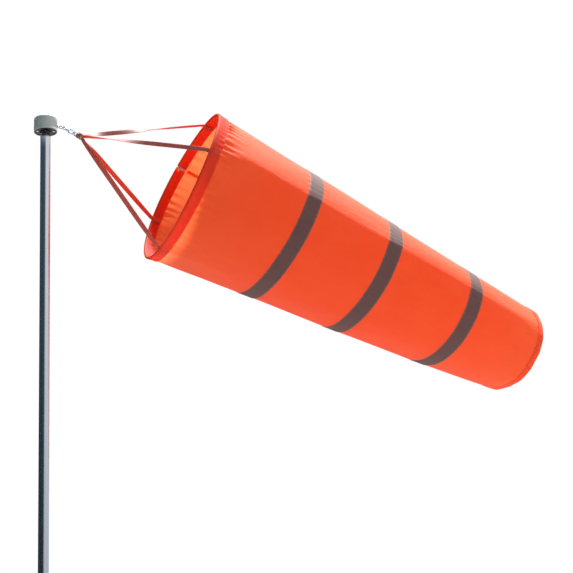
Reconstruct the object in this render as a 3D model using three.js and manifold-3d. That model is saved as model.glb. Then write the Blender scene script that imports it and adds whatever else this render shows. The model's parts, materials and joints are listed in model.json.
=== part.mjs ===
// Windsock on a stainless pole. Millimetres, +Z up the pole, origin at the centre of the pole's foot.
// The sock streams along +X at rest and curves gently towards +Y and upwards at its tail.
import * as THREE from 'three';
import { mergeVertices } from 'three/addons/utils/BufferGeometryUtils.js';
import Module from 'manifold-3d';

const wasm = await Module();
wasm.setup();

// ---------------------------------------------------------------- driving dimensions
const GAP = 0.3;
const AROUND = 48;
const FACET = 360 / AROUND;

const POLE = { length: 1200, radius: 10, wall: 1 };
const FOOT = { flange: 3, radius: 11.5, spigot: 8.6, depth: 22, wall: 1.8, chamfer: 0.8 };
const HEAD = { base: 1186, radius: 22.5, height: 31, wall: 2.6, fillet: 3, dome: 1.2 };
const PLATE = { low: 1, thick: 2.4, bore: 10.9, radius: 21.2, screwRadius: 15.5, screwAzimuth: 160 };
const BEARING = { low: 16.3, width: 7, bore: 4, innerWall: 1.9, outer: 11, outerWall: 1.8, balls: 7, ball: 1.35 };
const SPINDLE = { flange: 9.8, shoulder: 5.4, pin: 3.7, bore: 1.8, spigot: 8.6, depth: 20 };
const EYE = { reach: 33, rise: 15.5, ring: 4.7, wire: 1.5, shank: 1.9, collar: 4, nut: 3.7 };
const LOOP = { ring: 3.6, wire: 1.2, centre: 5.3, boss: 2.4, stem: 1.15, head: 2.1 };
const CLASP = { start: 11.9, collar: 14.1, nose: 24.1, outer: 4.9, inner: 2.5, thick: 2.6, pivot: 16.8, arm: 3.75 };
const RING = { near: 25, bar: 35.5, half: 7, corner: 1.7, wire: 1.1 };
const STRAP = { width: 9.6, thick: 1.2, turns: [-4, 86, 176, 266], steps: 30, layers: [2.0, 3.5] };
const WHIP = { from: 39.2, to: 43.6, thick: 1, halfWidth: 5.5, halfHeight: 4.8 };

const SOCK = { mouth: 261.4, length: 800, front: 155.3, back: 89.4, ply: 1.2, frontDroop: 18.6 };
const RIM = { saddle: 2.2, rise: 5.9, far: 7.9, fade: 160 };
const LEAN = { rise: 6.4, near: 1.9 };
const BEND = { sweep: [1.4, 16.3], lift: [-4.1, 15.1] };
const BAND = { starts: [205, 394, 597], width: 32, offset: 0.9, thick: 0.8 };
const HOOP = { wire: 1.6, inset: 3.6, turn: 311, halfGap: 0.2, clear: 3.2 };
const TAB = { from: 2.6, to: 20.5, width: 5, offset: -3.8, thick: 0.7 };
const HEM = { depth: 22, endTurn: 0.6 };
const SEAM = { from: 25, to: 783, width: 7, offset: -1.4, thick: 1 };

const FINISH = {
  steel: { color: 0xaab2b8, roughness: 0.22, metalness: 1 },
  zinc: { color: 0x7f8a94, roughness: 0.4, metalness: 1 },
  grey: { color: 0x9aa4a0, roughness: 0.5, metalness: 0 },
  dark: { color: 0x23262a, roughness: 0.6, metalness: 0 },
  orange: { color: 0xf25a30, roughness: 0.85, metalness: 0 },
  hem: { color: 0xd23f26, roughness: 0.85, metalness: 0 },
  webbing: { color: 0x9a4a36, roughness: 0.9, metalness: 0 },
  tape: { color: 0x8d8f8c, roughness: 0.35, metalness: 0 },
  thread: { color: 0x6d5348, roughness: 0.9, metalness: 0 },
  ivory: { color: 0xe6e0ea, roughness: 0.5, metalness: 0 },
};

// ---------------------------------------------------------------- small maths
const v2 = (x, y) => new THREE.Vector2(x, y);
const v3 = (x, y, z) => new THREE.Vector3(x, y, z);
const rad = THREE.MathUtils.degToRad;
const lerp = THREE.MathUtils.lerp;

// A direction that droops below the horizontal and sweeps round towards +Y, both in degrees.
function heading(droop, sweep) {
  const flat = Math.cos(rad(droop));
  return v3(flat * Math.cos(rad(sweep)), flat * Math.sin(rad(sweep)), -Math.sin(rad(droop)));
}

// The straight line from the eye to the mouth: x along it, y across, z up from it.
const eyeCentre = v3(EYE.reach, 0, HEAD.base + EYE.rise);
const chainX = heading(SOCK.frontDroop, 0);
const chainZ = v3(0, 0, 0).crossVectors(chainX, v3(0, 1, 0));
const chain = new THREE.Matrix4().makeBasis(chainX, v3(0, 1, 0), chainZ).setPosition(eyeCentre);

// ---------------------------------------------------------------- solids
// Welds a geometry, drops faces that closed up and turns the rest outwards.
function weld(source) {
  const bare = source.clone();
  bare.deleteAttribute('normal');
  bare.deleteAttribute('uv');
  const merged = mergeVertices(bare, 1e-4);
  const at = (i) => new THREE.Vector3().fromBufferAttribute(merged.attributes.position, i);
  const index = merged.index.array;
  const kept = [];
  let volume = 0;
  for (let i = 0; i < index.length; i += 3) {
    const [a, b, c] = index.slice(i, i + 3);
    if (a !== b && b !== c && c !== a) {
      kept.push([a, b, c]);
      volume += at(a).dot(at(b).cross(at(c)));
    }
  }
  merged.setIndex(kept.flatMap(([a, b, c]) => (volume < 0 ? [a, c, b] : [a, b, c])));
  return merged;
}

function toManifold(geometry) {
  const welded = weld(geometry);
  return new wasm.Manifold(new wasm.Mesh({
    numProp: 3,
    vertProperties: new Float32Array(welded.attributes.position.array),
    triVerts: new Uint32Array(welded.index.array),
  }));
}

function fromManifold(solid) {
  const mesh = solid.getMesh();
  const geometry = new THREE.BufferGeometry();
  geometry.setAttribute('position', new THREE.BufferAttribute(new Float32Array(mesh.vertProperties), 3));
  geometry.setIndex(new THREE.BufferAttribute(new Uint32Array(mesh.triVerts), 1));
  return geometry;
}

const join = (...parts) => fromManifold(parts.map(toManifold).reduce((all, part) => all.add(part)));
const cut = (base, ...tools) =>
  fromManifold(tools.map(toManifold).reduce((left, tool) => left.subtract(tool), toManifold(base)));

// Carries a flat outline through a row of places. Each place is a function from the outline to space.
function sweep(outline, places, closed = false) {
  const count = outline.length;
  const last = (places.length - 1) * count;
  const points = places.flatMap((place) => outline.map((corner) => place(corner)));
  const faces = [];
  const spans = closed ? places.length : places.length - 1;
  for (let i = 0; i < spans; i += 1) {
    const here = i * count;
    const next = ((i + 1) % places.length) * count;
    for (let j = 0; j < count; j += 1) {
      const k = (j + 1) % count;
      faces.push(here + j, here + k, next + k, here + j, next + k, next + j);
    }
  }
  if (!closed) {
    for (const [a, b, c] of THREE.ShapeUtils.triangulateShape(outline, [])) {
      faces.push(c, b, a, last + a, last + b, last + c);
    }
  }
  const geometry = new THREE.BufferGeometry();
  geometry.setAttribute('position', new THREE.Float32BufferAttribute(points.flatMap((p) => [p.x, p.y, p.z]), 3));
  geometry.setIndex(faces);
  return weld(geometry);
}

const rectangle = (width, height) => [
  v2(-width / 2, -height / 2), v2(width / 2, -height / 2), v2(width / 2, height / 2), v2(-width / 2, height / 2),
];

function disc(radius, sides = 8) {
  return Array.from({ length: sides }, (_, i) => {
    const angle = (i / sides) * 2 * Math.PI;
    return v2(radius * Math.cos(angle), radius * Math.sin(angle));
  });
}

// Turns a profile of [radius, height] pairs about Z.
function turned(profile, sides = AROUND) {
  const geometry = new THREE.LatheGeometry(profile.map(([r, z]) => v2(r, z)), sides);
  geometry.rotateX(Math.PI / 2);
  return weld(geometry);
}

// A ring with a rectangular section, and a plain rod, both about Z.
const collar = (inner, outer, low, high, sides) =>
  turned([[inner, low], [outer, low], [outer, high], [inner, high], [inner, low]], sides);
const rod = (radius, low, high, sides = 24) => turned([[0, low], [radius, low], [radius, high], [0, high]], sides);

const alongX = (geometry) => geometry.rotateY(Math.PI / 2);
const onChain = (geometry) => geometry.applyMatrix4(chain);

// ---------------------------------------------------------------- assembly
const windsock = new THREE.Group();
windsock.name = 'windsock_with_pole';

function add(name, geometry, finish) {
  const shown = geometry.index ? geometry : mergeVertices(geometry);
  shown.computeVertexNormals();
  const mesh = new THREE.Mesh(shown, new THREE.MeshStandardMaterial(FINISH[finish]));
  mesh.name = name;
  windsock.add(mesh);
}

// ---------------------------------------------------------------- pole
function addPole() {
  const inner = POLE.radius - POLE.wall;
  add('pole_tube', collar(inner, POLE.radius, FOOT.flange + 0.01, POLE.length), 'steel');
  const f = FOOT;
  add('foot_plug', turned([
    [0, 0], [f.radius - f.chamfer, 0], [f.radius, f.chamfer], [f.radius, f.flange - GAP],
    [f.spigot, f.flange - GAP], [f.spigot, f.depth], [f.spigot - f.wall, f.depth],
    [f.spigot - f.wall, f.flange + 2], [0, f.flange + 2],
  ]), 'dark');
  const s = SPINDLE;
  const top = POLE.length + GAP;
  const seat = HEAD.base + BEARING.low - GAP;
  const tip = HEAD.base + BEARING.low + BEARING.width;
  add('spindle_plug', turned([
    [0, top - s.depth], [s.spigot, top - s.depth], [s.spigot, top], [s.flange, top], [s.flange, top + 1],
    [s.shoulder, top + 1], [s.shoulder, seat], [s.pin, seat], [s.pin, tip], [s.bore, tip],
    [s.bore, seat], [0, seat],
  ]), 'zinc');
}

// ---------------------------------------------------------------- head
function addBearing() {
  const b = BEARING;
  const low = HEAD.base + b.low;
  const high = low + b.width;
  const pitch = (b.bore + b.innerWall + b.outer - b.outerWall) / 2;
  add('bearing_inner', collar(b.bore, b.bore + b.innerWall, low, high), 'steel');
  add('bearing_outer', collar(b.outer - b.outerWall, b.outer, low, high), 'steel');
  const middle = (low + high) / 2;
  const balls = Array.from({ length: b.balls }, (_, i) => {
    const angle = (i / b.balls) * 2 * Math.PI;
    const ball = new THREE.SphereGeometry(b.ball, 10, 6);
    return ball.translate(pitch * Math.cos(angle), pitch * Math.sin(angle), middle);
  });
  add('bearing_balls', join(collar(pitch - 0.5, pitch + 0.5, middle - 0.8, middle + 0.8, 28), ...balls), 'zinc');
  const under = high + GAP;
  add('spindle_washer', collar(SPINDLE.bore, b.bore + b.innerWall, under, under + 1, 32), 'zinc');
  const head = under + 1 + GAP;
  add('spindle_screw', turned([
    [0, head - 7.5], [SPINDLE.bore - GAP, head - 7.5], [SPINDLE.bore - GAP, head], [3.4, head],
    [3.4, head + 1.4], [2.6, head + 2], [0, head + 2],
  ], 24), 'zinc');
}

function headProfile() {
  const h = HEAD;
  const top = h.base + h.height;
  const corner = Array.from({ length: 5 }, (_, i) => {
    const angle = rad((i / 4) * 80);
    return [h.radius - h.fillet * (1 - Math.cos(angle)), top - h.dome - h.fillet * (1 - Math.sin(angle))];
  });
  const inner = h.radius - h.wall;
  const roof = top - h.wall - h.dome;
  const ledge = h.base + PLATE.low + PLATE.thick + GAP;
  const lip = PLATE.radius + GAP;
  return [
    [inner, ledge], [lip, ledge], [lip, h.base], [h.radius - 0.6, h.base], [h.radius, h.base + 0.6],
    ...corner, [h.radius * 0.5, top - 0.3], [0, top], [0, roof], [inner - 1, roof], [inner, roof - 1],
    [inner, ledge],
  ];
}

// The two screws that hold the base plate stand either side of the pole.
const screwPlaces = [0, 180].map((half) => {
  const angle = rad(PLATE.screwAzimuth + half);
  return v3(PLATE.screwRadius * Math.cos(angle), PLATE.screwRadius * Math.sin(angle), HEAD.base);
});

function addHead() {
  const roof = HEAD.base + HEAD.height - HEAD.wall - HEAD.dome;
  const seat = BEARING.low + BEARING.width;
  const low = HEAD.base + BEARING.low;
  const boss = turned([
    [BEARING.outer + GAP, low], [BEARING.outer + 2.2, low], [BEARING.outer + 2.2, roof + 0.5],
    [BEARING.outer - 1.2, roof + 0.5], [BEARING.outer - 1.2, HEAD.base + seat + GAP],
    [BEARING.outer + GAP, HEAD.base + seat + GAP], [BEARING.outer + GAP, low],
  ]);
  const plateTop = PLATE.low + PLATE.thick;
  const postLow = plateTop + GAP;
  const posts = screwPlaces.map(({ x, y }) => rod(2.1, HEAD.base + postLow, roof + 0.5, 16).translate(x, y, 0));
  const pilots = screwPlaces.map(({ x, y }) => rod(1.3, HEAD.base, HEAD.base + 14, 12).translate(x, y, 0));
  const eyeHole = alongX(rod(EYE.shank + GAP, 16, 26, 20)).translate(0, 0, eyeCentre.z);
  const shell = join(turned(headProfile(), 64), boss, ...posts);
  add('head_shell', cut(shell, ...pilots, eyeHole), 'grey');
  const plate = collar(PLATE.bore, PLATE.radius, HEAD.base + PLATE.low, HEAD.base + plateTop);
  const sinks = screwPlaces.map(({ x, y, z }) => turned([
    [0, PLATE.low - 0.2], [2.8, PLATE.low - 0.2], [1.3, PLATE.low + 1.3], [0, PLATE.low + 1.3],
  ], 16).translate(x, y, z));
  add('base_plate', cut(plate, ...pilots, ...sinks), 'dark');
  screwPlaces.forEach(({ x, y, z }, i) => {
    const screw = turned([
      [0, PLATE.low + 0.1], [2.2, PLATE.low + 0.1], [1, PLATE.low + 1.3], [1, 12], [0, 12.6],
    ], 16);
    add(`plate_screw_${i + 1}`, screw.translate(x, y, z), 'steel');
  });
}

function addEye() {
  const ring = new THREE.TorusGeometry(EYE.ring, EYE.wire, 10, 32).rotateX(Math.PI / 2);
  const inside = HEAD.radius - HEAD.wall;
  const shank = alongX(rod(EYE.shank, inside - 4, EYE.reach - EYE.ring)).translate(-EYE.reach, 0, 0);
  const outside = HEAD.radius + GAP;
  const flange = alongX(rod(EYE.collar, outside, outside + 1.2)).translate(-EYE.reach, 0, 0);
  add('eye_bolt', join(ring, shank, flange).translate(...eyeCentre), 'zinc');
  const nut = alongX(collar(EYE.shank + GAP, EYE.nut, inside - 3, inside - 0.6, 6));
  add('eye_nut', nut.translate(0, 0, eyeCentre.z), 'zinc');
}

// ---------------------------------------------------------------- swivel and clasp
function addSwivel() {
  const l = LOOP;
  const ring = new THREE.TorusGeometry(l.ring, l.wire, 8, 28).translate(l.centre, 0, 0);
  const far = l.centre + l.ring;
  const stem = alongX(turned([
    [0, far], [l.boss, far + 0.4], [l.boss, CLASP.start - GAP], [l.stem, CLASP.start - GAP],
    [l.stem, CLASP.collar + GAP], [l.head, CLASP.collar + GAP], [l.head, CLASP.collar + 1],
    [l.head - 0.8, CLASP.collar + 1.4], [0, CLASP.collar + 1.4],
  ], 16));
  add('swivel_eye', onChain(join(ring, stem)), 'steel');
}

// Lays a flat shape, drawn along the chain and up from it, as a plate of the given thickness.
function plateOf(shape, thick, bevel = 0) {
  const geometry = new THREE.ExtrudeGeometry(shape, {
    depth: thick - 2 * bevel, bevelEnabled: bevel > 0, bevelSize: bevel, bevelThickness: bevel, bevelSegments: 1,
    bevelOffset: -bevel, curveSegments: 8,
  });
  return geometry.translate(0, 0, bevel - thick / 2).rotateX(Math.PI / 2);
}

function addClasp() {
  const c = CLASP;
  const shape = new THREE.Shape();
  shape.moveTo(c.start + 0.6, 2.2);
  shape.lineTo(c.pivot - 1.9, c.outer);
  shape.lineTo(c.pivot + 0.9, c.outer);
  shape.lineTo(c.pivot + 0.9, c.inner);
  shape.absarc(c.collar + 1.9 + c.inner, 0, c.inner, Math.PI / 2, Math.PI * 1.5, false);
  shape.absarc(c.nose, 0, c.inner, -Math.PI / 2, rad(70), false);
  shape.lineTo(c.nose - 0.25, c.inner + 0.7);
  shape.absarc(c.nose, 0, c.outer, rad(80), -Math.PI / 2, true);
  shape.lineTo(c.pivot - 1.9, -c.outer);
  shape.lineTo(c.start + 0.6, -2.2);
  shape.closePath();
  const barrel = alongX(collar(LOOP.stem + GAP, 2.6, c.start, c.collar, 20));
  const bore = alongX(rod(LOOP.stem + GAP, c.start - 1, c.collar + 0.1, 16));
  const pocket = alongX(rod(LOOP.head + GAP, c.collar, c.collar + 3, 16));
  const pin = rod(0.8, -3, 3, 12).rotateX(Math.PI / 2).translate(c.pivot, 0, c.arm);
  const slot = new THREE.BoxGeometry(4.4, 1.8, 4).translate(c.pivot + 0.4, 0, c.arm + 0.5);
  const body = join(cut(plateOf(shape, c.thick), bore, pocket), barrel);
  add('clasp_body', onChain(cut(body, bore, pin, slot)), 'steel');
  add('gate_pin', onChain(rod(0.5, -c.thick / 2, c.thick / 2, 12).rotateX(Math.PI / 2)
    .translate(c.pivot, 0, c.arm)), 'zinc');
}

function addGate() {
  const c = CLASP;
  const tip = c.nose - 0.6;
  const shape = new THREE.Shape();
  shape.moveTo(c.pivot - 1.2, c.arm - 1);
  shape.lineTo(c.pivot + 1, c.arm - 1);
  shape.lineTo(tip, c.inner + 0.45);
  shape.lineTo(tip, c.inner + 1.75);
  shape.lineTo(c.pivot + 3, c.outer + 0.1);
  shape.lineTo(c.pivot + 1.4, c.outer + 1.5);
  shape.lineTo(c.pivot + 0.2, c.outer + 0.9);
  shape.lineTo(c.pivot - 1.2, c.arm + 0.9);
  shape.closePath();
  const pin = rod(0.8, -3, 3, 12).rotateX(Math.PI / 2).translate(c.pivot, 0, c.arm);
  add('clasp_gate', onChain(cut(plateOf(shape, 1.2), pin)), 'zinc');
}

// ---------------------------------------------------------------- bridle
function ringPath() {
  const r = RING;
  const side = r.bar - r.corner;
  const arc = (cx, cy, radius, from, to, steps) => Array.from({ length: steps + 1 }, (_, i) => {
    const angle = rad(lerp(from, to, i / steps));
    return v3(cx + radius * Math.cos(angle), cy + radius * Math.sin(angle), 0);
  });
  return [
    ...arc(r.near + r.half, 0, r.half, 90, 270, 18),
    ...arc(side, r.corner - r.half, r.corner, 270, 360, 4),
    ...arc(side, r.half - r.corner, r.corner, 0, 90, 4),
  ];
}

function addRing() {
  const path = ringPath();
  const places = path.map((point, i) => {
    const before = path[(i + path.length - 1) % path.length];
    const after = path[(i + 1) % path.length];
    const along = after.clone().sub(before).normalize();
    const side = v3(along.y, -along.x, 0);
    return ({ x, y }) => point.clone().addScaledVector(side, x).add(v3(0, 0, y));
  });
  add('bridle_ring', onChain(sweep(disc(RING.wire), places, true)), 'steel');
}

// Unit vector from the chain's axis towards a turn about it: 0 is up, 90 is towards -Y.
// It runs straight between the facets' corners, so everything round the sock shares one polygon.
function spoke(turn, up, across) {
  const start = turn / FACET + 1 / 30;
  const low = Math.floor(start);
  const corner = (step) => {
    const angle = rad((step - 1 / 30) * FACET);
    return up.clone().multiplyScalar(Math.cos(angle)).addScaledVector(across, -Math.sin(angle));
  };
  return corner(low).lerp(corner(low + 1), start - low);
}

// Radius of the cloth's middle surface, s along the sock from its mouth.
const coneRadius = (s) => lerp(SOCK.front, SOCK.back, s / SOCK.length);

// The hoop hangs a little out of square, its near side forwards, and the cloth behind it leans back at its top.
function pulled(s, turn) {
  const angle = rad(turn);
  const fade = THREE.MathUtils.clamp(1 - s / RIM.fade, 0, 1) ** 2;
  const rim = RIM.saddle * Math.cos(2 * angle) + RIM.rise * Math.cos(angle) - RIM.far * Math.sin(angle);
  return s + lerp(LEAN.rise * Math.cos(angle) + LEAN.near * Math.sin(angle), rim, fade);
}

// One leg of a strap, from the ring out to its end inside the hem, in the chain's frame.
function strapLeg(turn, height) {
  const radial = spoke(turn, v3(0, 0, 1), v3(0, 1, 0)).normalize();
  const flat = Math.cos(rad(FACET / 2));
  const sign = Math.sign(height);
  const hem = (s, offset) =>
    radial.clone().multiplyScalar(coneRadius(s) * flat + offset).setX(SOCK.mouth + pulled(s, turn));
  const path = [
    v3(RING.bar, 0, height), v3(WHIP.from, 0, height), v3(WHIP.to + 1, 0, height),
    hem(-14, -13), hem(-2, -4.8), hem(8, -4.3), hem(20, -3.3),
  ];
  const rest = new THREE.CatmullRomCurve3(path.slice(2), false, 'centripetal');
  const spaced = rest.getSpacedPoints(STRAP.steps);
  const points = [path[0], path[1], ...spaced];
  const twistEnd = points.length - 5;
  return points.map((point, i) => {
    const ease = THREE.MathUtils.smoothstep(i, 2, twistEnd);
    const before = points[Math.max(i - 1, 0)];
    const after = points[Math.min(i + 1, points.length - 1)];
    const along = after.clone().sub(before).normalize();
    const swing = Math.atan2(-radial.y, radial.z * sign);
    const normal = v3(0, 0, sign).applyAxisAngle(v3(1, 0, 0), swing * ease * sign);
    normal.addScaledVector(along, -normal.dot(along)).normalize();
    const width = v3(0, 0, 0).crossVectors(normal, along);
    return { point, normal, width };
  });
}

// Each strap is one length: up from the rim, round the ring's bar and out to the rim again.
function addStrap(name, upperTurn, lowerTurn, height) {
  const upper = strapLeg(upperTurn, height);
  const lower = strapLeg(lowerTurn, -height);
  const fold = Array.from({ length: 7 }, (_, i) => {
    const angle = rad(90 + (i + 1) * 22.5);
    const normal = v3(Math.cos(angle), 0, Math.sin(angle));
    const point = v3(RING.bar, 0, 0).addScaledVector(normal, height);
    return { point, normal, width: v3(0, 1, 0) };
  });
  const frames = [...upper.reverse(), ...fold, ...lower.map((f) => ({ ...f, width: f.width.negate() }))];
  const places = frames.map(({ point, normal, width }) => ({ x, y }) =>
    point.clone().addScaledVector(width, x).addScaledVector(normal, y));
  add(name, onChain(sweep(rectangle(STRAP.width, STRAP.thick), places)), 'webbing');
}

function addBridle() {
  const [top, near, bottom, far] = STRAP.turns;
  addStrap('bridle_strap_1', top, bottom, STRAP.layers[1]);
  addStrap('bridle_strap_2', near, far, STRAP.layers[0]);
  const w = WHIP;
  const outer = new THREE.BoxGeometry(w.to - w.from, 2 * (w.halfWidth + w.thick), 2 * (w.halfHeight + w.thick));
  const inner = new THREE.BoxGeometry(w.to - w.from + 2, 2 * w.halfWidth, 2 * w.halfHeight);
  add('strap_whipping', onChain(cut(outer, inner).translate((w.from + w.to) / 2, 0, 0)), 'thread');
}

// ---------------------------------------------------------------- sock
// The sock's centre line, stepped along its length from the mouth.
const LINE_STEP = 2;
const linePoints = [v3(SOCK.mouth, 0, 0).applyMatrix4(chain)];
function lineHeading(s) {
  const u = THREE.MathUtils.clamp(s / SOCK.length, 0, 1);
  const droop = SOCK.frontDroop - BEND.lift[0] * u - BEND.lift[1] * u * u;
  return { droop, sweep: BEND.sweep[0] * u + BEND.sweep[1] * u * u };
}
for (let s = 0; s <= SOCK.length + 12; s += LINE_STEP) {
  const { droop, sweep: turn } = lineHeading(s + LINE_STEP / 2);
  linePoints.push(linePoints.at(-1).clone().addScaledVector(heading(droop, turn), LINE_STEP));
}

// A point of the sock, s along it, off its middle surface by offset, at a turn about its centre line.
function sockPoint(s, offset, turn) {
  const reach = pulled(s, turn);
  const { droop, sweep: yaw } = lineHeading(reach);
  const along = heading(droop, yaw);
  const across = v3(-Math.sin(rad(yaw)), Math.cos(rad(yaw)), 0);
  const up = v3(0, 0, 0).crossVectors(along, across);
  const cell = THREE.MathUtils.clamp(reach / LINE_STEP, 0, linePoints.length - 2);
  const low = Math.floor(cell);
  const centre = linePoints[low].clone().lerp(linePoints[low + 1], cell - low);
  centre.addScaledVector(along, Math.min(reach, 0));
  return centre.addScaledVector(spoke(turn, up, across), coneRadius(s) + offset);
}

const facetTurn = (i) => (i - 1 / 30) * FACET;
const sockPlace = (turn) => ({ x, y }) => sockPoint(x, y, turn);
const allRound = Array.from({ length: AROUND }, (_, i) => sockPlace(facetTurn(i)));

// A sleeve's section: out along one face and back along the other.
function sleeveOutline(from, to, low, high, steps) {
  const stations = Array.from({ length: steps + 1 }, (_, i) => lerp(from, to, i / steps));
  return [...stations.map((s) => v2(s, low)), ...stations.reverse().map((s) => v2(s, high))];
}

function addPanels() {
  const half = SOCK.ply / 2;
  const joints = BAND.starts.map((s) => s + BAND.width / 2);
  const starts = [HOOP.inset + HOOP.clear + GAP, ...joints.map((s) => s + 0.2)];
  const ends = [...joints.map((s) => s - 0.2), SOCK.length - 1.5];
  starts.forEach((from, i) => {
    add(`sock_panel_${i + 1}`, sweep(sleeveOutline(from, ends[i], -half, half, 4), allRound, true), 'orange');
  });
  BAND.starts.forEach((from, i) => {
    const outline = sleeveOutline(from, from + BAND.width, BAND.offset, BAND.offset + BAND.thick, 1);
    add(`reflective_band_${i + 1}`, sweep(outline, allRound, true), 'tape');
  });
}

// Turns right round the mouth from one side of the hoop's joint to the other.
function turnsFromJoint(clear) {
  const corners = Array.from({ length: AROUND }, (_, i) => HOOP.turn + FACET * (i + 0.5));
  return [HOOP.turn + clear, ...corners, HOOP.turn + 360 - clear];
}

// The mouth's binding folds over the hoop and grips the cloth behind it, and stops short of the hoop's joint.
function addMouth() {
  const outer = [[HEM.depth, 2.1], [8, 2.1], [6, 3], [3.6, 3.1], [1.4, 2.2], [0.5, 0]];
  const inner = [[1.7, 0], [2.3, 1.45], [3.6, 1.95], [5.6, 1.7], [7.2, 0.9], [HEM.depth, 0.9]];
  const mirror = (pairs) => pairs.filter(([, y]) => y > 0).map(([x, y]) => [x, -y]);
  const outline = [...outer, ...mirror(outer).reverse(), ...mirror(inner).reverse(), ...inner].map(([x, y]) => v2(x, y));
  add('mouth_binding', sweep(outline, turnsFromJoint(HEM.endTurn).map(sockPlace)), 'hem');
}

function addHoop() {
  const wirePlace = (turn) => ({ x, y }) => sockPoint(HOOP.inset + x, y, turn);
  add('mouth_hoop', sweep(disc(HOOP.wire), turnsFromJoint(HOOP.halfGap).map(wirePlace)), 'steel');
}

// A strip that lies along the sock, inside it, over the line where the hem's ends and the cloth's edges meet.
function stripPlaces(from, to, offset, stations) {
  return Array.from({ length: stations + 1 }, (_, i) => {
    const s = lerp(from, to, i / stations);
    return ({ x, y }) => sockPoint(s, offset + y, HOOP.turn + THREE.MathUtils.radToDeg(x / coneRadius(s)));
  });
}

function addSeam() {
  const places = stripPlaces(SEAM.from, SEAM.to, SEAM.offset, 24);
  add('sock_seam', sweep(rectangle(SEAM.width, SEAM.thick), places), 'hem');
}

function addTab() {
  add('hem_tab', sweep(rectangle(TAB.width, TAB.thick), stripPlaces(TAB.from, TAB.to, TAB.offset, 4)), 'ivory');
}

function addTail() {
  const end = SOCK.length;
  const outline = [
    [end - 14, 2.1], [end - 14, 0.9], [end - 1, 0.9], [end - 1, -0.9], [end - 14, -0.9], [end - 14, -2.1],
    [end, -1.9], [end + 1, 0], [end, 1.9],
  ].map(([x, y]) => v2(x, y));
  add('tail_binding', sweep(outline, allRound, true), 'hem');
}

addPole();
addBearing();
addHead();
addEye();
addSwivel();
addClasp();
addGate();
addRing();
addBridle();
addPanels();
addSeam();
addMouth();
addHoop();
addTab();
addTail();

export default windsock;
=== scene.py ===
"""Windsock on a stainless pole: the finishes, cloth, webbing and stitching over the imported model.

Lengths are in metres, with MM for a millimetre, and turns are in degrees unless a docstring says otherwise.
"""

import json
import logging
import math
from collections.abc import Callable, Sequence
from dataclasses import dataclass, field
from enum import Enum

import bmesh
import bpy
import numpy as np
from mathutils import Matrix, Vector


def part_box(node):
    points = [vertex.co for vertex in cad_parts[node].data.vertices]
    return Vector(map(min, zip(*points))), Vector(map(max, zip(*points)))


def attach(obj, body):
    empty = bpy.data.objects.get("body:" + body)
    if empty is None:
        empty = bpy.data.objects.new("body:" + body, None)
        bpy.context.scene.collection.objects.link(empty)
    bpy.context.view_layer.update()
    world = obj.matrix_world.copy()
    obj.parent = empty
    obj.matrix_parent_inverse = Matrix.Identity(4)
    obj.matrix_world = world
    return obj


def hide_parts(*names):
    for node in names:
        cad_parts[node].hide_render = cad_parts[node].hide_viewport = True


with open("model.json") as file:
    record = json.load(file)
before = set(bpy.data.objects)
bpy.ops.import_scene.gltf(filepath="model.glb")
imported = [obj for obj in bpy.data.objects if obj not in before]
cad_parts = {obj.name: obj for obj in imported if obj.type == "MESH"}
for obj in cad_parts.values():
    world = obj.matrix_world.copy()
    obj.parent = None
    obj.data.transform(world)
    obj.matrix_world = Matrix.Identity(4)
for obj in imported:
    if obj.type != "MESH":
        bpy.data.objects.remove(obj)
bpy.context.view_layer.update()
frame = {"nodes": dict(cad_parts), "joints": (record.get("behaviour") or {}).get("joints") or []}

LOG = logging.getLogger("windsock")
MM = 0.001
FULL_TAPE = 32 * MM
SEAM_TURN = 311.0
# An edge stays crisp over these angles, in degrees.
MOULDED_CORNER = 32.0
METAL_CORNER = 50.0
Colour = tuple[float, float, float]
Corners = Sequence[tuple[float, float]]
Pair = tuple[np.ndarray, np.ndarray]
Place = Callable[[np.ndarray, np.ndarray], np.ndarray]


class Body(Enum):
    """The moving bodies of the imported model."""

    POLE = "pole"
    HEAD = "head"
    SWIVEL = "swivel"
    CLASP = "clasp"
    GATE = "gate"
    SOCK = "sock"


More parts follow.
